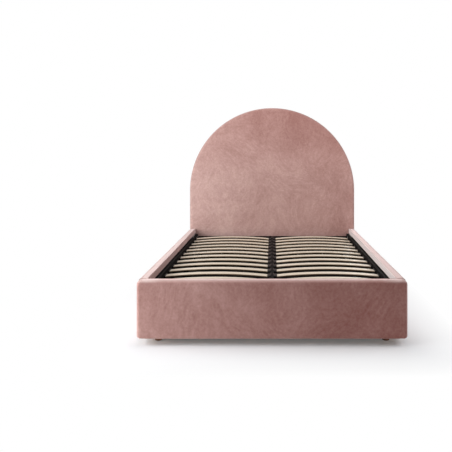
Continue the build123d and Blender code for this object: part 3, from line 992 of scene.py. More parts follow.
def gridded_box(places):
    """A closed box cut along the given places of each axis."""
    bm = bmesh.new()
    middle = (0.5, 0.5, 0.5)
    bmesh.ops.create_cube(bm, size=1.0, matrix=Matrix.Translation(middle))
    for axis, lines in enumerate(places):
        along = [e for e in bm.edges if abs((e.verts[0].co - e.verts[1].co)[axis]) > 0.5]
        bmesh.ops.subdivide_edges(bm, edges=along, cuts=len(lines) - 2, use_grid_fill=True)
    for vertex in bm.verts:
        for axis, lines in enumerate(places):
            vertex.co[axis] = lines[round(vertex.co[axis] * (len(lines) - 1))]
    return bm


# Foam under the velvet: how many slow and quick waves a metre holds, the share of each in
# the swell, and how far from their edges the faces of rails and headboard fall back.

SLOW_WAVES, SLOW_SHARE = 2.7, 0.38
QUICK_WAVES, QUICK_SHARE = 8.5, 0.12
QUICK_SHIFT = Vector((3.1, 7.7, 1.9))
RAIL_REACH = 110 * MM
HEADBOARD_REACH = 140 * MM


def swell_at(point, depth):
    """How far the foam lies back at a point, in slow and then quicker waves."""
    slow = noise.noise(point * SLOW_WAVES)
    quick = noise.noise(point * QUICK_WAVES + QUICK_SHIFT)
    return depth * (0.5 - SLOW_SHARE * slow - QUICK_SHARE * quick)


def soften_box(bm, low, high):
    """Lets flat faces fall back towards their edges and swell slowly, never past the box."""
    look = settings().velvet
    size = high - low
    reaches = [min(RAIL_REACH, min(size[axis - 1], size[axis - 2]) / 2) for axis in range(3)]
    bm.normal_update()
    for vertex in bm.verts:
        gap = sorted(min(c - a, b - c) for c, a, b in zip(vertex.co, low, high))[1]
        reach = sum(own * part**2 for own, part in zip(reaches, vertex.normal))
        draw = look.draw_in * (1 - smooth_step(gap / reach))
        swell = swell_at(vertex.co, look.swell) * smooth_step(gap / (reach / 2))
        vertex.co -= vertex.normal * (draw + swell)


def open_pocket(bm, low, high):
    """Opens the hollow for the board from below."""
    floor = []
    for face in bm.faces:
        centre = face.calc_center_median()
        below = low.x < centre.x < high.x and low.y < centre.y < high.y
        if below and face.normal.z < -STRAIGHT:
            floor.append(face)
    made = bmesh.ops.extrude_face_region(bm, geom=floor)["geom"]
    bmesh.ops.delete(bm, geom=floor, context="FACES_ONLY")
    for vertex in (item for item in made if isinstance(item, bmesh.types.BMVert)):
        vertex.co.z = high.z
    bmesh.ops.recalc_face_normals(bm, faces=bm.faces)


# Velvet panels. The second finish is the near-black lining of the walls inside the storage box,
# partly painted shade.

RAIL_FINISHES = ("velvet_rails", "box_lining")
HEADBOARD_FINISHES = ("velvet_headboard", "box_lining")


def edge_inset(gap, radius):
    """How far a rounded edge lies inside the corner at a distance from the face beside it."""
    inside = max(radius - gap, 0.0)
    return radius - math.sqrt(radius**2 - inside**2)


def lining_top():
    """Where the storage box's lining ends: a strip of painted shade just above the steel base."""
    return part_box("side_tube_left")[1].z + settings().timber.lining_rise


def line_wall(bm, inward, top):
    """Gives the wall inside the storage box, up to a height, its near-black lining, partly painted
    shade.
    """
    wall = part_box("side_rail_board_right")[0].x
    for face in bm.faces:
        centre = face.calc_center_median()
        within = centre.z < top and abs(centre.x) < wall
        if within and face.normal.dot(inward) > STRAIGHT:
            face.material_index = 1


def rail_mesh(name, front_radius, end_radius, back_radius, board_gap, inward):
    """A rail's cover: a closed box with round edges, soft faces, a hollow, and a wall lined dark,
    partly as painted shade.
    """
    look = settings().velvet
    low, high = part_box(name)
    board_low, board_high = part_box(name.replace("cover", "board"))
    inward = Vector(inward)
    wide, butt, hem = look.rail_radius, look.butt_radius, look.hem_radius
    widest = max(wide, front_radius)
    corner_hem = look.corner_hem if front_radius > look.corner_hem else hem
    bm = gridded_box(
        [
            graded_places(low.x, high.x, wide, look.cell, (board_low.x, board_high.x)),
            graded_places(low.y, high.y, wide, look.cell),
            graded_places(low.z, high.z, wide, look.cell, (lining_top(),)),
        ]
    )
    middle, half = (low + high) / 2, (high - low) / 2
    for vertex in bm.verts:
        point = vertex.co
        forward = smooth_step((high.y - hem - point.y) / (high.y - low.y - widest - hem))
        corner = butt + (front_radius - butt) * forward
        across = held(point.x, low.x + corner, high.x - corner)
        along = held(point.y, low.y + corner, high.y - corner)
        core = Vector((across, along, point.z))
        out = point - core
        if out.length > 0:
            point = core + out.normalized() * corner
        inside = (point.x - middle.x) * inward.x > 0
        across_top = look.crisp_radius if inside else widest
        along_top = end_radius if point.y < middle.y else back_radius
        across_hem = hem + (corner_hem - hem) * forward
        for axis, (top, under) in enumerate(((across_top, across_hem), (along_top, hem))):
            inset = edge_inset(high.z - point.z, top) + edge_inset(point.z - low.z, under)
            reach = half[axis] - inset
            point[axis] = middle[axis] + (point[axis] - middle[axis]) * reach / half[axis]
        vertex.co = point
    soften_box(bm, low, high)
    line_wall(bm, inward, lining_top())
    gap = Vector((0, board_gap, 0))
    open_pocket(bm, board_low + gap, board_high - gap)
    return bm


class Arch:
    """A half circle over straight sides, which grows ring by ring from its closed outline."""

    def __init__(self, low, high, cell):
        """Draws the outline between two corners, in the plane of the lowest Y."""
        self.bm = bmesh.new()
        self.foot = low.z
        self.half = (high.x - low.x) / 2
        self.spring = high.z - self.half
        self.rise = self.spring - low.z
        self.inset = 0.0
        start = bmesh.ops.create_vert(self.bm, co=(self.half, low.y, self.spring))["vert"]
        bmesh.ops.spin(
            self.bm,
            geom=start,
            cent=(0, low.y, self.spring),
            axis=(0, -1, 0),
            angle=math.pi,
            steps=round(math.pi * self.half / cell),
            use_duplicate=False,
        )
        for x in (-self.half, self.half):
            side = Vector((x, low.y, self.spring))
            top = min(self.bm.verts, key=lambda vertex: (vertex.co - side).length)
            foot = bmesh.ops.extrude_vert_indiv(self.bm, verts=[top])["verts"][0]
            foot.co = (x, low.y, low.z)
        feet = [vertex for vertex in self.bm.verts if vertex.co.z < self.spring - cell]
        bmesh.ops.contextual_create(self.bm, geom=feet)
        for edge in [e for e in self.bm.edges if e.calc_length() > 4 * cell]:
            cuts = round(edge.calc_length() / cell) - 1
            bmesh.ops.subdivide_edges(self.bm, edges=[edge], cuts=cuts)
        self.edges = list(self.bm.edges)

    def gap(self, point):
        """How far a point lies inside the outline."""
        if point.z > self.spring:
            return self.half - math.hypot(point.x, point.z - self.spring)
        return min(self.half - abs(point.x), point.z - self.foot)

    def move(self, vertices, inset, y):
        """Draws the last ring in to an inset from the outline, and sets its place in depth."""
        across = (self.half - inset) / (self.half - self.inset)
        down = (self.rise - inset) / (self.rise - self.inset)
        for vertex in vertices:
            above = vertex.co.z - self.spring
            vertex.co.x *= across
            vertex.co.z = self.spring + above * (across if above > 0 else down)
            vertex.co.y = y
        self.inset = inset

    def grow(self, track):
        """Grows a ring from the last one for each inset and depth of a track."""
        for inset, y in track:
            made = bmesh.ops.extrude_edge_only(self.bm, edges=self.edges)["geom"]
            fresh = {item for item in made if isinstance(item, bmesh.types.BMVert)}
            self.move(fresh, inset, y)
            edges = (item for item in made if isinstance(item, bmesh.types.BMEdge))
            self.edges = [edge for edge in edges if fresh.issuperset(edge.verts)]

    def close(self):
        """Draws the last ring together in one point."""
        vertices = list(dict.fromkeys(vertex for edge in self.edges for vertex in edge.verts))
        centre = sum((vertex.co for vertex in vertices), Vector()) / len(vertices)
        bmesh.ops.pointmerge(self.bm, verts=vertices, merge_co=centre)


# What is left of the arch's straight sides when its last ring closes, and how many rows
# round the headboard's edges.

LAST_RISE = 60 * MM
ROUND_ROWS = 9


def headboard_mesh():
    """The headboard's cover: a closed form with a round front edge and a hollow behind."""
    look = settings().velvet
    low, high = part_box("headboard_cover")
    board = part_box("headboard_board")[0]
    radius, back, fitting = look.headboard_radius, 8 * MM, 0.3 * MM
    rim = board.x - low.x - fitting
    arch = Arch(Vector((low.x, high.y, low.z)), high, look.cell)
    depth = high.y - back - low.y - radius
    deepest = arch.rise - LAST_RISE
    steps, count = round(depth / look.cell), round((deepest - radius) / look.cell)
    turns = [QUARTER * row / ROUND_ROWS for row in range(1, ROUND_ROWS + 1)]
    track = [(back, high.y)]
    for angle in reversed(turns[:-1]):
        track.append((back * (1 - math.cos(angle)), high.y - back + back * math.sin(angle)))
    track.append((0.0, high.y - back))
    track += [(0.0, high.y - back - depth * index / steps) for index in range(1, steps + 1)]
    for angle in turns:
        track.append((radius * (1 - math.cos(angle)), low.y + radius * (1 - math.sin(angle))))
    for index in range(1, count + 1):
        track.append((radius + (deepest - radius) * index / count, low.y))
    outline = arch.edges
    arch.move(arch.bm.verts, rim, high.y)
    arch.grow([(rim, board.y - fitting)])
    arch.close()
    arch.edges = outline
    arch.grow(track)
    arch.close()
    for vertex in arch.bm.verts:
        if vertex.co.y < low.y + radius:
            gap = arch.gap(vertex.co)
            draw = 2 * look.draw_in * (1 - smooth_step((gap - radius) / HEADBOARD_REACH))
            lie = draw + swell_at(vertex.co, look.swell)
            vertex.co.y += lie * smooth_step(gap / radius)
    bmesh.ops.recalc_face_normals(arch.bm, faces=arch.bm.faces)
    return arch.bm


def line_headboard(bm):
    """Gives the headboard's front its near-black lining below the steel base, partly painted shade.
    """
    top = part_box("end_tubes")[0].z
    geometry = [*bm.verts, *bm.edges, *bm.faces]
    bmesh.ops.bisect_plane(bm, geom=geometry, plane_co=(0, 0, top), plane_no=(0, 0, 1))
    line_wall(bm, Vector((0, -1, 0)), top)


def staple_places(look):
    """Middles and directions of the staples, evenly round the back cloth's hem."""
    low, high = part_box("headboard_back_cloth")
    drawn = Vector((look.hem / 2, 0, look.hem / 2))
    ring = Arch(low + drawn, high - drawn, look.staple_pitch)
    ends = [[vertex.co.copy() for vertex in edge.verts] for edge in ring.edges]
    ring.bm.free()
    return [((first + last) / 2, (last - first).normalized()) for first, last in ends]


# The back cloth: its mesh cell and how much the cells widen, how far it lies off the board
# and inside its solid, and how far from the hem its pinches fade and its slack is full.

CLOTH_CELL, CELL_GROWTH = 18 * MM, 1.15
CLOTH_UNDER, CLOTH_OVER = 0.4 * MM, 1.2 * MM
CLOTH_PRESS = 0.5 * MM
CLOTH_PINCH, PINCH_REACH = 0.3 * MM, 60 * MM
SLACK_REACH = 240 * MM


def crease_at(x, z):
    """How slack the cloth hangs at a place, in tall soft creases and in short quick ones."""
    tall = noise.noise(Vector((x * 2.4, z * 1.1, 4.0)))
    quick = noise.noise(Vector((x * 7.0, z * 2.2, 9.0)))
    return 0.9 + (tall + 0.6 * quick)


def back_cloth_mesh():
    """The cloth behind the headboard: its hem folded under, stapled and slack in its middle."""
    look = settings().timber
    low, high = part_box("headboard_back_cloth")
    under, over = low.y + CLOTH_UNDER, high.y - CLOTH_OVER
    fold = (over - under) / 2
    arch = Arch(low, high, CLOTH_CELL)
    first, deepest = look.hem + 2 * MM, arch.rise - LAST_RISE
    count = round((deepest - first) / CLOTH_CELL)
    track = [(look.hem / 2, under), (fold, under), (0.0, under + fold), (fold, over)]
    track += [(look.hem / 2, over), (look.hem, over), (first, over - CLOTH_PRESS)]
    for index in range(1, count + 1):
        inset = first + (deepest - first) * (index / count) ** CELL_GROWTH
        track.append((inset, over - CLOTH_PRESS))
    arch.move(arch.bm.verts, look.hem, under)
    arch.grow(track)
    arch.close()
    staples = staple_places(look)
    tree = KDTree(len(staples))
    for index, staple in enumerate(staples):
        tree.insert(staple[0], index)
    tree.balance()
    for vertex in arch.bm.verts:
        if vertex.co.y < under + fold:
            continue
        inside = arch.gap(vertex.co) - look.hem
        between = smooth_step(tree.find(vertex.co)[2] / (look.staple_pitch / 2))
        pinch = between * (1 - smooth_step(inside / PINCH_REACH))
        sag = look.cloth_sag * smooth_step(inside / SLACK_REACH)
        vertex.co.y += CLOTH_PINCH * pinch - sag * crease_at(vertex.co.x, vertex.co.z)
    bmesh.ops.recalc_face_normals(arch.bm, faces=arch.bm.faces)
    return arch.bm


def staples_mesh():
    """Staples driven through the back cloth's hem."""
    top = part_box("headboard_back_cloth")[1].y
    size, edge = Vector((10 * MM, 0.6 * MM, 1.2 * MM)), 0.2 * MM
    places = []
    for place, direction in staple_places(settings().timber):
        turn = Matrix.Rotation(math.atan2(-direction.z, direction.x), 4, "Y")
        places.append(Matrix.Translation((place.x, top - size.y / 2, place.z)) @ turn)
    return copies_of(eased_block(size, edge, segments=1), places)


def upholster(bm, name, finishes, cover):
    """Makes a padded velvet piece of the mesh, in its CAD cover's place."""
    piece = finish_piece(bm, name, "box", "velvet", finishes, [cover])


class BED_OT_headboard(bpy.types.Operator):
    """Upholsters the arched headboard"""

    bl_idname = "bed.headboard"
    bl_label = "Headboard cover"

    def execute(self, context):
        bm = headboard_mesh()
        line_headboard(bm)
        upholster(bm, "headboard_velvet", HEADBOARD_FINISHES, "headboard_cover")
        return {"FINISHED"}


class BED_OT_back_cloth(bpy.types.Operator):
    """Staples the spun cloth over the headboard's back"""

    bl_idname = "bed.back_cloth"
    bl_label = "Back cloth"

    def execute(self, context):
        staples = finish_piece(staples_mesh(), "back_staples", "box", "zinc_steel", ["zinc"])
        name = "headboard_back_cloth"
        mesh = back_cloth_mesh()
        cloth = finish_piece(mesh, "back_cloth", "box", "back_cloth", ["spun_cloth"], [name])
        thickness = cloth.modifiers.new("Thickness", "SOLIDIFY")
        thickness.thickness = 0.6 * MM
        thickness.offset = 0.0
        return {"FINISHED"}


class BED_OT_foot_rail(bpy.types.Operator):
    """Upholsters the foot rail"""

    bl_idname = "bed.foot_rail"
    bl_label = "Foot rail cover"

    def execute(self, context):
        look = settings().velvet
        cover = "foot_rail_cover"
        bm = rail_mesh(
            cover,
            front_radius=look.corner_radius,
            end_radius=look.rail_radius,
            back_radius=look.inner_radius,
            board_gap=0.0,
            inward=(0, 1, 0),
        )
        upholster(bm, "foot_rail_velvet", RAIL_FINISHES, cover)
        return {"FINISHED"}


class BED_OT_side_rails(bpy.types.Operator):
    """Upholsters both side rails"""

    bl_idname = "bed.side_rails"
    bl_label = "Side rail covers"

    def execute(self, context):
        butt = settings().velvet.butt_radius
        for side, inward in INWARD.items():
            cover = f"side_rail_cover_{side}"
            bm = rail_mesh(cover, butt, butt, butt, board_gap=3 * MM, inward=inward)
            upholster(bm, f"side_rail_velvet_{side}", RAIL_FINISHES, cover)
        return {"FINISHED"}


# Slats: their thickness, how far a face that shows the veneer may tilt from level, and the
# shift of the grain from one slat to the next.

SLAT_THICKNESS = 8 * MM
VENEER_TILT = 0.8
GRAIN_SHIFT = (1.7, 0.31)


def slat_mesh(name, index):
    """A bent slat with rounded long edges, its grain and plies laid out on its own UV map."""
    look = settings().slats
    low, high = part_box(name)
    middle = (low + high) / 2
    half = (high.x - low.x) / 2
    sag = high.z - low.z - SLAT_THICKNESS
    radius = (half**2 + sag**2) / (2 * sag)
    bow = math.asin(half / radius)
    bm = bmesh.new()
    shape = Matrix.Diagonal((2 * radius * bow, high.y - low.y, SLAT_THICKNESS, 1))
    under_top = Matrix.Translation((0, 0, -SLAT_THICKNESS / 2))
    bmesh.ops.create_cube(bm, size=1.0, matrix=under_top @ shape)
    ease(bm, [e for e in bm.edges if e.calc_length() > half], look.edge_radius, 3)
    along = [e for e in bm.edges if e.calc_length() > half]
    bmesh.ops.subdivide_edges(bm, edges=along, cuts=look.steps - 1, use_grid_fill=True)
    grain = bm.loops.layers.uv.new("Grain")
    bm.normal_update()
    shift_along, shift_across = (step * index for step in GRAIN_SHIFT)
    for face in bm.faces:
        on_edge = abs(face.normal.z) < VENEER_TILT
        face.material_index = 1 if on_edge else 0
        for loop in face.loops:
            place = loop.vert.co
            across = place.z if on_edge else place.y + shift_across
            loop[grain].uv = (place.x + shift_along, across)
    for vertex in bm.verts:
        angle = vertex.co.x / radius
        reach = radius + vertex.co.z
        vertex.co.x = middle.x + reach * math.sin(angle)
        vertex.co.z = high.z - radius + reach * math.cos(angle)
        vertex.co.y += middle.y
    return bm


class BED_OT_slats(bpy.types.Operator):
    """Bends the birch slats of both columns"""

    bl_idname = "bed.slats"
    bl_label = "Sprung slats"

    def execute(self, context):
        names = sorted(name for name in NODES if name.startswith("slat_"))
        finishes = ["birch_face", "birch_plies"]
        for index, name in enumerate(names):
            bm = slat_mesh(name, index)
            finish_piece(bm, f"birch_{name}", "base", "birch_slat", finishes, [name])
        return {"FINISHED"}


# Steel base and its holders: how thin a weld bead is between its ripples, and the shortest
# edge of a tube that is rounded.

WELD_VALLEY = 0.78
TUBE_EDGE = 0.1


def weld_bead(size):
    """A rippled weld bead along Z, about its middle."""
    look = settings().base
    count = round(size / look.weld_ripple)
    profile = [(0, -size / 2)]
    for index in range(count + 1):
        radius = look.weld_radius * (1.0 if index % 2 else WELD_VALLEY)
        profile.append((radius, size * (index / count - 0.5)))
    return lathed(profile + [(0, size / 2)], steps=8)


def end_beads(low, high, axis):
    """Middles, directions and lengths of the beads round the top and sides of a tube's ends."""
    across = 1 - axis
    middle = (low + high) / 2
    for end in (low[axis], high[axis]):
        for place in (low[across], high[across]):
            side = middle.copy()
            side[axis], side[across] = end, place
            yield side, (0, 0, 1), high.z - low.z
        top = Vector((middle.x, middle.y, high.z))
        top[axis] = end
        yield top, (0, 1, 0) if axis == 0 else (1, 0, 0), high[across] - low[across]


def welds_mesh():
    """All welds of the base: its tubes and braces at their ends, and the strut lugs."""
    bm = bmesh.new()
    beads = []
    for low, high in solids_of("end_tubes") + solids_of("mid_braces"):
        beads += end_beads(low, high, 0)
    for low, high in solids_of("centre_tube"):
        beads += [bead for bead in end_beads(low, high, 1) if bead[1] == (0, 0, 1)]
    for low, high in solids_of("strut_lugs"):
        middle, size = (low.y + high.y) / 2, high.y - low.y
        beads += [((x, middle, high.z), (0, 1, 0), size) for x in (low.x, high.x)]
    for place, direction, size in beads:
        add_copies(bm, weld_bead(size), [facing(place, direction)])
    return bm


def caps_mesh():
    """Plastic caps in the open ends of the side tubes, each a flange and a plug."""
    look = settings().base
    wall, flange_edge, plug_edge = 2 * MM, 0.6 * MM, MM
    bm = bmesh.new()
    for side in INWARD:
        low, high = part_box(f"side_tube_{side}")
        middle, size = (low + high) / 2, high - low
        for end, out in ((low.y, -1), (high.y, 1)):
            flange = eased_block((size.x, look.cap_flange, size.z), flange_edge)
            place = (middle.x, end + out * look.cap_flange / 2, middle.z)
            add_copies(bm, flange, [Matrix.Translation(place)])
            inner = (size.x - 2 * wall, look.cap_depth, size.z - 2 * wall)
            plug = eased_block(inner, plug_edge)
            place = (middle.x, end - out * look.cap_depth / 2, middle.z)
            add_copies(bm, plug, [Matrix.Translation(place)])
    return bm


class BED_OT_base(bpy.types.Operator):
    """Finishes the steel base: tubes with rounded corners, welds and caps"""

    bl_idname = "bed.base"
    bl_label = "Steel base"

    def execute(self, context):
        look = settings().base
        paint = "base_paint"
        edges = {"shortest": TUBE_EDGE, "outer_only": True}
        for name in ("side_tube_left", "side_tube_right", "end_tubes", "mid_braces"):
            eased_node(name, paint, paint, look.tube_radius, segments=3, **edges)
        eased_node("centre_tube", paint, paint, look.centre_radius, segments=5, **edges)
        eased_node("strut_lugs", paint, paint, look.plate_radius)
        finish_piece(welds_mesh(), "weld_beads", "base", paint, [paint], angle=math.pi)
        plastic = "holder_plastic"
        finish_piece(caps_mesh(), "tube_caps", "base", plastic, [plastic])
        return {"FINISHED"}


class BED_OT_holders(bpy.types.Operator):
    """Finishes the moulded slat holders"""

    bl_idname = "bed.holders"
    bl_label = "Slat holders"

    def execute(self, context):
        look = settings().base
        for name in ("side_holders_left", "side_holders_right", "centre_holders"):
            eased_node(name, "holder_plastic", "holder_plastic", look.plastic_radius)
        return {"FINISHED"}


# Lift and fasteners. The struts' profiles are millimetres of radius and of height: a neck
# and a round shoulder above the lower eye, then a crimped groove, a lip and a bore.

EYE_BORE, EYE_WIDTH, DISC_EDGE = 4.05 * MM, 12 * MM, 1.4 * MM
CYLINDER_NECK = ((0, 8), (5.4, 8), (5.4, 15), (6.2, 16), (6.2, 20))
SHOULDER_TURNS = [QUARTER * step / 6 for step in range(1, 7)]
SHOULDER = [(6.2 + 4.8 * math.sin(turn), 26 - 6 * math.cos(turn)) for turn in SHOULDER_TURNS]
CYLINDER_CRIMP = ((11, -21), (10, -19), (10, -17), (11, -15))
CYLINDER_LIP = ((11, -4), (10, -1.2), (8, 0), (5.15, 0), (5.15, -195), (0, -195))
LIP_TO_EYE = 30 * MM
ROD_START = ((0, 0), (4.4, 0), (5, 0.6))
ROD_END = ((5, -20), (0, -20))
ROD_LENGTH = 215 * MM
ROD_SOCKET = ((0, -23), (6.4, -23), (7.4, -22), (7.4, -8), (0, -8))


def strut_eye_radius(side):
    """The radius of a strut's eyes, which reach past the rod's axis at its head."""
    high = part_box(f"gas_cylinder_{side}")[1]
    low_pin, high_pin = solids_of("strut_pins")[0]
    return high.y - (low_pin.y + high_pin.y) / 2


def strut_line(side):
    """Middles of a gas strut's lower eye and of its head, at rest."""
    low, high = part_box(f"gas_rod_{side}")
    x, eye = (low.x + high.x) / 2, strut_eye_radius(side)
    pin_low, pin_high = solids_of("strut_pins")[list(INWARD).index(side)]
    foot = Vector((x, (pin_low.y + pin_high.y) / 2, (pin_low.z + pin_high.z) / 2))
    return foot, Vector((x, low.y + eye, high.z - eye))


def ring_profile(inner, outer, width, edge):
    """A closed ring's section with eased outer edges."""
    half = width / 2
    section = [(inner, -half), (outer - edge, -half), (outer, edge - half)]
    return section + [(outer, half - edge), (outer - edge, half), (inner, half), (inner, -half)]


def cylinder_mesh(side):
    """A gas strut's cylinder with its lower eye."""
    foot, head = strut_line(side)
    eye = strut_eye_radius(side)
    along, across = facing(foot, head - foot), facing(foot, (1, 0, 0))
    end = (head - foot).length - eye - LIP_TO_EYE
    profile = in_mm(*CYLINDER_NECK, *SHOULDER) + in_mm(*CYLINDER_CRIMP, *CYLINDER_LIP, start=end)
    bm = bmesh.new()
    add_copies(bm, lathed(profile, steps=40), [along])
    add_copies(bm, lathed(ring_profile(EYE_BORE, eye, EYE_WIDTH, MM), steps=40), [across])
    return bm


def rod_mesh(side):
    """A gas strut's polished rod with its moulded end socket."""
    foot, head = strut_line(side)
    eye = strut_eye_radius(side)
    along, across = facing(foot, head - foot), facing(head, (1, 0, 0))
    end = (head - foot).length
    bar = in_mm(*ROD_START, start=end - eye - ROD_LENGTH) + in_mm(*ROD_END, start=end)
    disc = ring_profile(0, eye, EYE_WIDTH, DISC_EDGE)[:-1]
    bm = bmesh.new()
    add_copies(bm, lathed(bar), [along])
    add_copies(bm, lathed(in_mm(*ROD_SOCKET, start=end)), [along], 1)
    add_copies(bm, lathed(disc, steps=40), [across], 1)
    return bm


def screw_head(radius, height, socket, steps):
    """A low round head along Z, with a hollow for the key in its middle."""
    hollow = [(0, 0.4 * height), (socket, 0.4 * height), (1.08 * socket, height)]
    dome = [(0.72 * radius, 0.86 * height), (radius, 0.3 * height)]
    return lathed(hollow + dome + [(radius, -0.2 * height), (0, -0.2 * height)], steps)


def plate_bolts_mesh():
    """Low bolts that hold the hinge plates to the rails, below the swing of the base."""
    look = settings().base
    margin = 20 * MM
    bm = bmesh.new()
    for low, high in solids_of("hinge_plates"):
        x, inward = (low.x, -1) if low.x > 0 else (high.x, 1)
        ys = (high.y - margin - look.bolt_gap, high.y - margin)
        zs = (low.z + margin, low.z + margin + look.bolt_rise)
        places = [facing((x, y, z), (inward, 0, 0)) for y in ys for z in zs]
        head = screw_head(radius=7 * MM, height=2.6 * MM, socket=2.3 * MM, steps=24)
        add_copies(bm, head, places)
    return bm


def bracket_washers_mesh():
    """Washers under the bracket bolts, which point into the box."""
    thickness = 1.2 * MM
    low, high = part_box("floor_panels")
    box_middle = (low + high) / 2
    bm = bmesh.new()
    for low, high in solids_of("bracket_bolts"):
        size, seat = high - low, (low + high) / 2
        axis = 0 if size.x < size.y else 1
        inward = Vector((0, 0, 0))
        inward[axis] = 1 if seat[axis] < box_middle[axis] else -1
        seat[axis] -= inward[axis] * size[axis] / 2
        section = ring_profile(inner=4 * MM, outer=9 * MM, width=thickness, edge=0.3 * MM)
        middle = seat + inward * (thickness / 2)
        add_copies(bm, lathed(section, steps=24), [facing(middle, inward)])
    return bm


def ledge_screws_mesh():
    """Screws along the ledges that carry the closed base."""
    pitch = settings().base.screw_pitch
    bm = bmesh.new()
    for low, high in solids_of("support_ledges"):
        size = high - low
        along = 0 if size.x > size.y else 1
        face = 1 - along
        inward = Vector((0, 1, 0)) if along == 0 else Vector((-1 if low.x > 0 else 1, 0, 0))
        count = round(size[along] / pitch)
        places = []
        for index in range(count):
            place = (low + high) / 2
            place[along] = low[along] + (index + 0.5) * size[along] / count
            place[face] = high[face] if inward[face] > 0 else low[face]
            places.append(facing(place, inward))
        head = screw_head(radius=4.2 * MM, height=1.8 * MM, socket=1.5 * MM, steps=16)
        add_copies(bm, head, places)
    return bm


class BED_OT_lift(bpy.types.Operator):
    """Finishes the lift: hinge plates, pins, brackets and gas struts"""

    bl_idname = "bed.lift"
    bl_label = "Lift and fasteners"

    def execute(self, context):
        steel = "zinc_steel"
        radius = settings().base.plate_radius
        plated = ("hinge_plates", "corner_brackets", "bracket_bolts", "pivot_pins", "strut_pins")
        for name in plated:
            eased_node(name, "zinc", steel, radius)
        for side in INWARD:
            tube, rod = f"gas_cylinder_{side}", f"gas_rod_{side}"
            paint, chrome = "strut_paint", "rod_chrome"
            body = NODES[tube]["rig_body"]
            finish_piece(cylinder_mesh(side), f"strut_body_{side}", body, paint, [paint], [tube])
            finishes = [chrome, "holder_plastic"]
            body = NODES[rod]["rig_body"]
            finish_piece(rod_mesh(side), f"strut_bar_{side}", body, chrome, finishes, [rod])
        finish_piece(plate_bolts_mesh(), "plate_bolts", "box", steel, ["zinc"])
        finish_piece(bracket_washers_mesh(), "bracket_washers", "box", steel, ["zinc"])
        finish_piece(ledge_screws_mesh(), "ledge_screws", "box", steel, ["zinc"])
        return {"FINISHED"}


# Boards and feet: the shares of a foot's top and of its tip in its other radii.

TIP_SHARE = 0.82
SIDE_SHARE, GROOVE_SHARE = 0.93, 0.91
ROUND_SHARE, ROUND_STEPS = 0.16, 5
PAD_FOOT_SHARE, PAD_SHARE = 0.74, 0.8


class BED_OT_timber(bpy.types.Operator):
    """Finishes the boards, battens, ledges and the box's floor"""

    bl_idname = "bed.timber"
    bl_label = "Boards and battens"

    def execute(self, context):
        radius = settings().timber.edge_radius
        boards = ("headboard_board", "foot_rail_board")
        for name in (*boards, "side_rail_board_left", "side_rail_board_right"):
            dress_node(name, "pressed_board")
        # The ledges and the box's floor take the near-black lining, partly painted shade.
        eased_node("support_ledges", "box_lining", "pine", radius)
        for name in ("corner_blocks", "floor_battens", "centre_beam"):
            eased_node(name, "pine_along", "pine", radius)
        floor_edge = 0.2 * MM
        eased_node("floor_panels", "box_lining", "panel_board", floor_edge)
        return {"FINISHED"}


def foot_profile(top, tip, height):
    """A foot's outline: a rounded tip, a slow taper, a groove and a straight collar."""
    look = settings().timber
    flat = 1 - ROUND_SHARE
    profile = [(0, look.glide), (flat * tip, look.glide)]
    for step in range(1, ROUND_STEPS + 1):
        angle = QUARTER * step / ROUND_STEPS
        out = tip * (flat + ROUND_SHARE * math.sin(angle))
        profile.append((out, look.glide + ROUND_SHARE * tip * (1 - math.cos(angle))))
    neck = height - look.collar
    groove, sides = GROOVE_SHARE * top, SIDE_SHARE * top
    profile += [(sides, neck - 2 * MM), (groove, neck - MM), (sides, neck), (top - MM, neck)]
    rim = 1.5 * MM
    profile += [(top, neck + MM), (top, height - rim), (top - rim, height), (0, height)]
    return profile


class BED_OT_feet(bpy.types.Operator):
    """Turns the short wooden feet"""

    bl_idname = "bed.feet"
    bl_label = "Feet"

    def execute(self, context):
        boxes = solids_of("feet")
        low, high = boxes[0]
        top, height = (high.x - low.x) / 2, high.z - low.z
        tip = TIP_SHARE * top
        places = []
        for ends in boxes:
            middle = (ends[0] + ends[1]) / 2
            places.append(Matrix.Translation((middle.x, middle.y, low.z)))
        turned = copies_of(lathed(foot_profile(top, tip, height), steps=48), places)
        finish_piece(turned, "turned_feet", "box", "foot_wood", ["foot_wood"], ["feet"])
        upper = settings().timber.glide + MM
        foot, side = PAD_FOOT_SHARE * tip, PAD_SHARE * tip
        pads = copies_of(lathed([(0, 0), (foot, 0), (side, MM), (side, upper), (0, upper)]), places)
        finish_piece(pads, "foot_glides", "box", "holder_plastic", ["holder_plastic"])
        return {"FINISHED"}


# Stage: each lamp's name, place, target and width, and the camera that was fitted to the
# photograph's perspective.

LAMPS = (
    ("key", (-3.0, -0.8, 1.5), (0, 0.6, 0.6), 2.0),
    ("fill", (-2.6, -1.8, 1.4), (0, 0.6, 0.6), 2.0),
    ("side", (2.4, -0.7, 1.8), (0, 0.8, 0.8), 1.6),
    ("top", (0, 0, 4.2), (0, 0, 0.4), 2.4),
    ("back", (2.0, 4.4, 1.3), (0, 1.0, 0.8), 2.0),
)
FLOOR_REACH = 60.0
FLOOR_GLOW = 0.1
WHITE = (1, 1, 1)
SENSOR, LENS = 36.0, 39.66
SHIFT = (-0.102, -0.1715)


def add_object(name, data):
    """Puts a new object in the scene."""
    made = bpy.data.objects.new(name, data)
    bpy.context.scene.collection.objects.link(made)
    return made


def add_lamp(name, place, target, width, energy):
    """A square soft lamp at a place, turned to a target and not seen itself."""
    data = bpy.data.lights.new(name, "AREA")
    data.shape = "SQUARE"
    data.size = width
    data.energy = energy
    lamp = add_object(name, data)
    lamp.location = place
    lamp.rotation_euler = (Vector(target) - Vector(place)).to_track_quat("-Z", "Y").to_euler()
    lamp.visible_camera = False


def seen_mask(tree):
    """Where the eye, a reflection or a clear surface looks straight at the thing."""
    path = node(tree, "ShaderNodeLightPath").outputs
    first = maths(tree, "MAXIMUM", path["Is Camera Ray"], path["Is Glossy Ray"])
    return maths(tree, "MAXIMUM", first, path["Is Transmission Ray"])


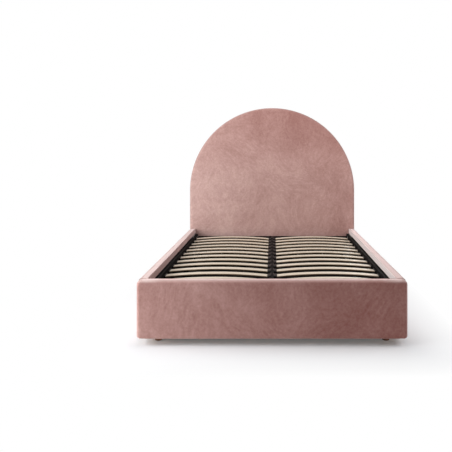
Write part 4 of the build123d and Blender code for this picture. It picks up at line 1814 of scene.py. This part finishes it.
def mixed_shader(tree, output, factor, first, second):
    """Joins a mix of two shaders to the tree's output."""
    inputs = {0: factor, 1: first.outputs[0], 2: second.outputs[0]}
    both = node(tree, "ShaderNodeMixShader", inputs)
    node(tree, output, {"Surface": both.outputs[0]})


def floor_material():
    """A plain pale floor that keeps the bed's shadow and fades to white far off."""
    look = settings().stage
    made = bpy.data.materials.new("pale_floor")
    made.use_nodes = True
    tree = made.node_tree
    tree.nodes.clear()
    parts = split(tree, node(tree, "ShaderNodeTexCoord").outputs["Object"])
    past = []
    for axis in range(2):
        outward = maths(tree, "ABSOLUTE", parts[axis])
        beyond = maths(tree, "SUBTRACT", outward, CAD_BOX[1][axis])
        past.append(maths(tree, "MAXIMUM", beyond, 0.0))
    aside = node(tree, "ShaderNodeCombineXYZ", dict(enumerate(past))).outputs[0]
    away = node(tree, "ShaderNodeVectorMath", {0: aside}, operation="LENGTH").outputs["Value"]
    matt = node(tree, "ShaderNodeBsdfDiffuse", {"Color": look.floor})
    glow = node(tree, "ShaderNodeEmission", {"Color": WHITE, "Strength": 1.0})
    far = mapped(tree, away, 0.0, look.shadow_reach, FLOOR_GLOW, 1.0)
    factor = times(tree, far, seen_mask(tree))
    mixed_shader(tree, "ShaderNodeOutputMaterial", factor, matt, glow)
    return made


def add_floor():
    """Lays the floor, which is no part of the bed."""
    bm = bmesh.new()
    bmesh.ops.create_grid(bm, x_segments=2, y_segments=2, size=FLOOR_REACH)
    mesh = bpy.data.meshes.new("floor")
    bm.to_mesh(mesh)
    bm.free()
    mesh.materials.append(floor_material())
    floor = add_object("floor", mesh)


def soft_room(strength):
    """Even light from all round, which shows as plain white."""
    world = bpy.data.worlds.new("soft_room")
    world.use_nodes = True
    tree = world.node_tree
    tree.nodes.clear()
    even = node(tree, "ShaderNodeBackground", {"Color": WHITE, "Strength": strength})
    white = node(tree, "ShaderNodeBackground", {"Color": WHITE, "Strength": 1.0})
    mixed_shader(tree, "ShaderNodeOutputWorld", seen_mask(tree), even, white)
    return world


class BED_OT_stage(bpy.types.Operator):
    """Sets the floor, the lamps, the surrounding light and the camera"""

    bl_idname = "bed.stage"
    bl_label = "Stage"

    def execute(self, context):
        look = settings().stage
        scene = context.scene
        scene.view_settings.view_transform = "Standard"
        add_floor()
        for name, place, target, width in LAMPS:
            add_lamp(name, place, target, width, getattr(look, f"{name}_power"))
        scene.world = soft_room(look.room)
        data = bpy.data.cameras.new("camera")
        data.sensor_width, data.lens = SENSOR, LENS
        data.shift_x, data.shift_y = SHIFT
        camera = add_object("camera", data)
        camera.location = (0, -look.eye_distance, look.eye_height)
        camera.rotation_euler = (math.radians(90), 0, 0)
        scene.camera = camera
        return {"FINISHED"}


class BED_PT_panel(bpy.types.Panel):
    """Lists the bed's pieces and settings"""

    bl_label = "Bed frame"
    bl_space_type = "VIEW_3D"
    bl_region_type = "UI"
    bl_category = "Bed"

    def draw(self, context):
        for operator in OPERATORS:
            self.layout.operator(operator.bl_idname)
        for group in BedSettings.__annotations__:
            box = self.layout.box()
            values = getattr(context.scene.bed, group)
            for name in type(values).__annotations__:
                box.prop(values, name)


OPERATORS = (
    BED_OT_headboard,
    BED_OT_back_cloth,
    BED_OT_foot_rail,
    BED_OT_side_rails,
    BED_OT_slats,
    BED_OT_base,
    BED_OT_holders,
    BED_OT_lift,
    BED_OT_timber,
    BED_OT_feet,
    BED_OT_stage,
)
GROUPS = (BedVelvet, BedSlats, BedBase, BedTimber, BedStage, BedSettings)
CLASSES = (*GROUPS, *OPERATORS, BED_PT_panel)


def register():
    """Makes the classes and the scene's settings known."""
    for item in CLASSES:
        bpy.utils.register_class(item)
    bpy.types.Scene.bed = PointerProperty(type=BedSettings)


def unregister():
    """Takes the classes and the scene's settings away again."""
    del bpy.types.Scene.bed
    for item in reversed(CLASSES):
        bpy.utils.unregister_class(item)


def main():
    """Builds the bed and its stage."""
    register()
    for operator in OPERATORS:
        family, verb = operator.bl_idname.split(".")
        getattr(getattr(bpy.ops, family), verb)()


if __name__ == "__main__":
    main()
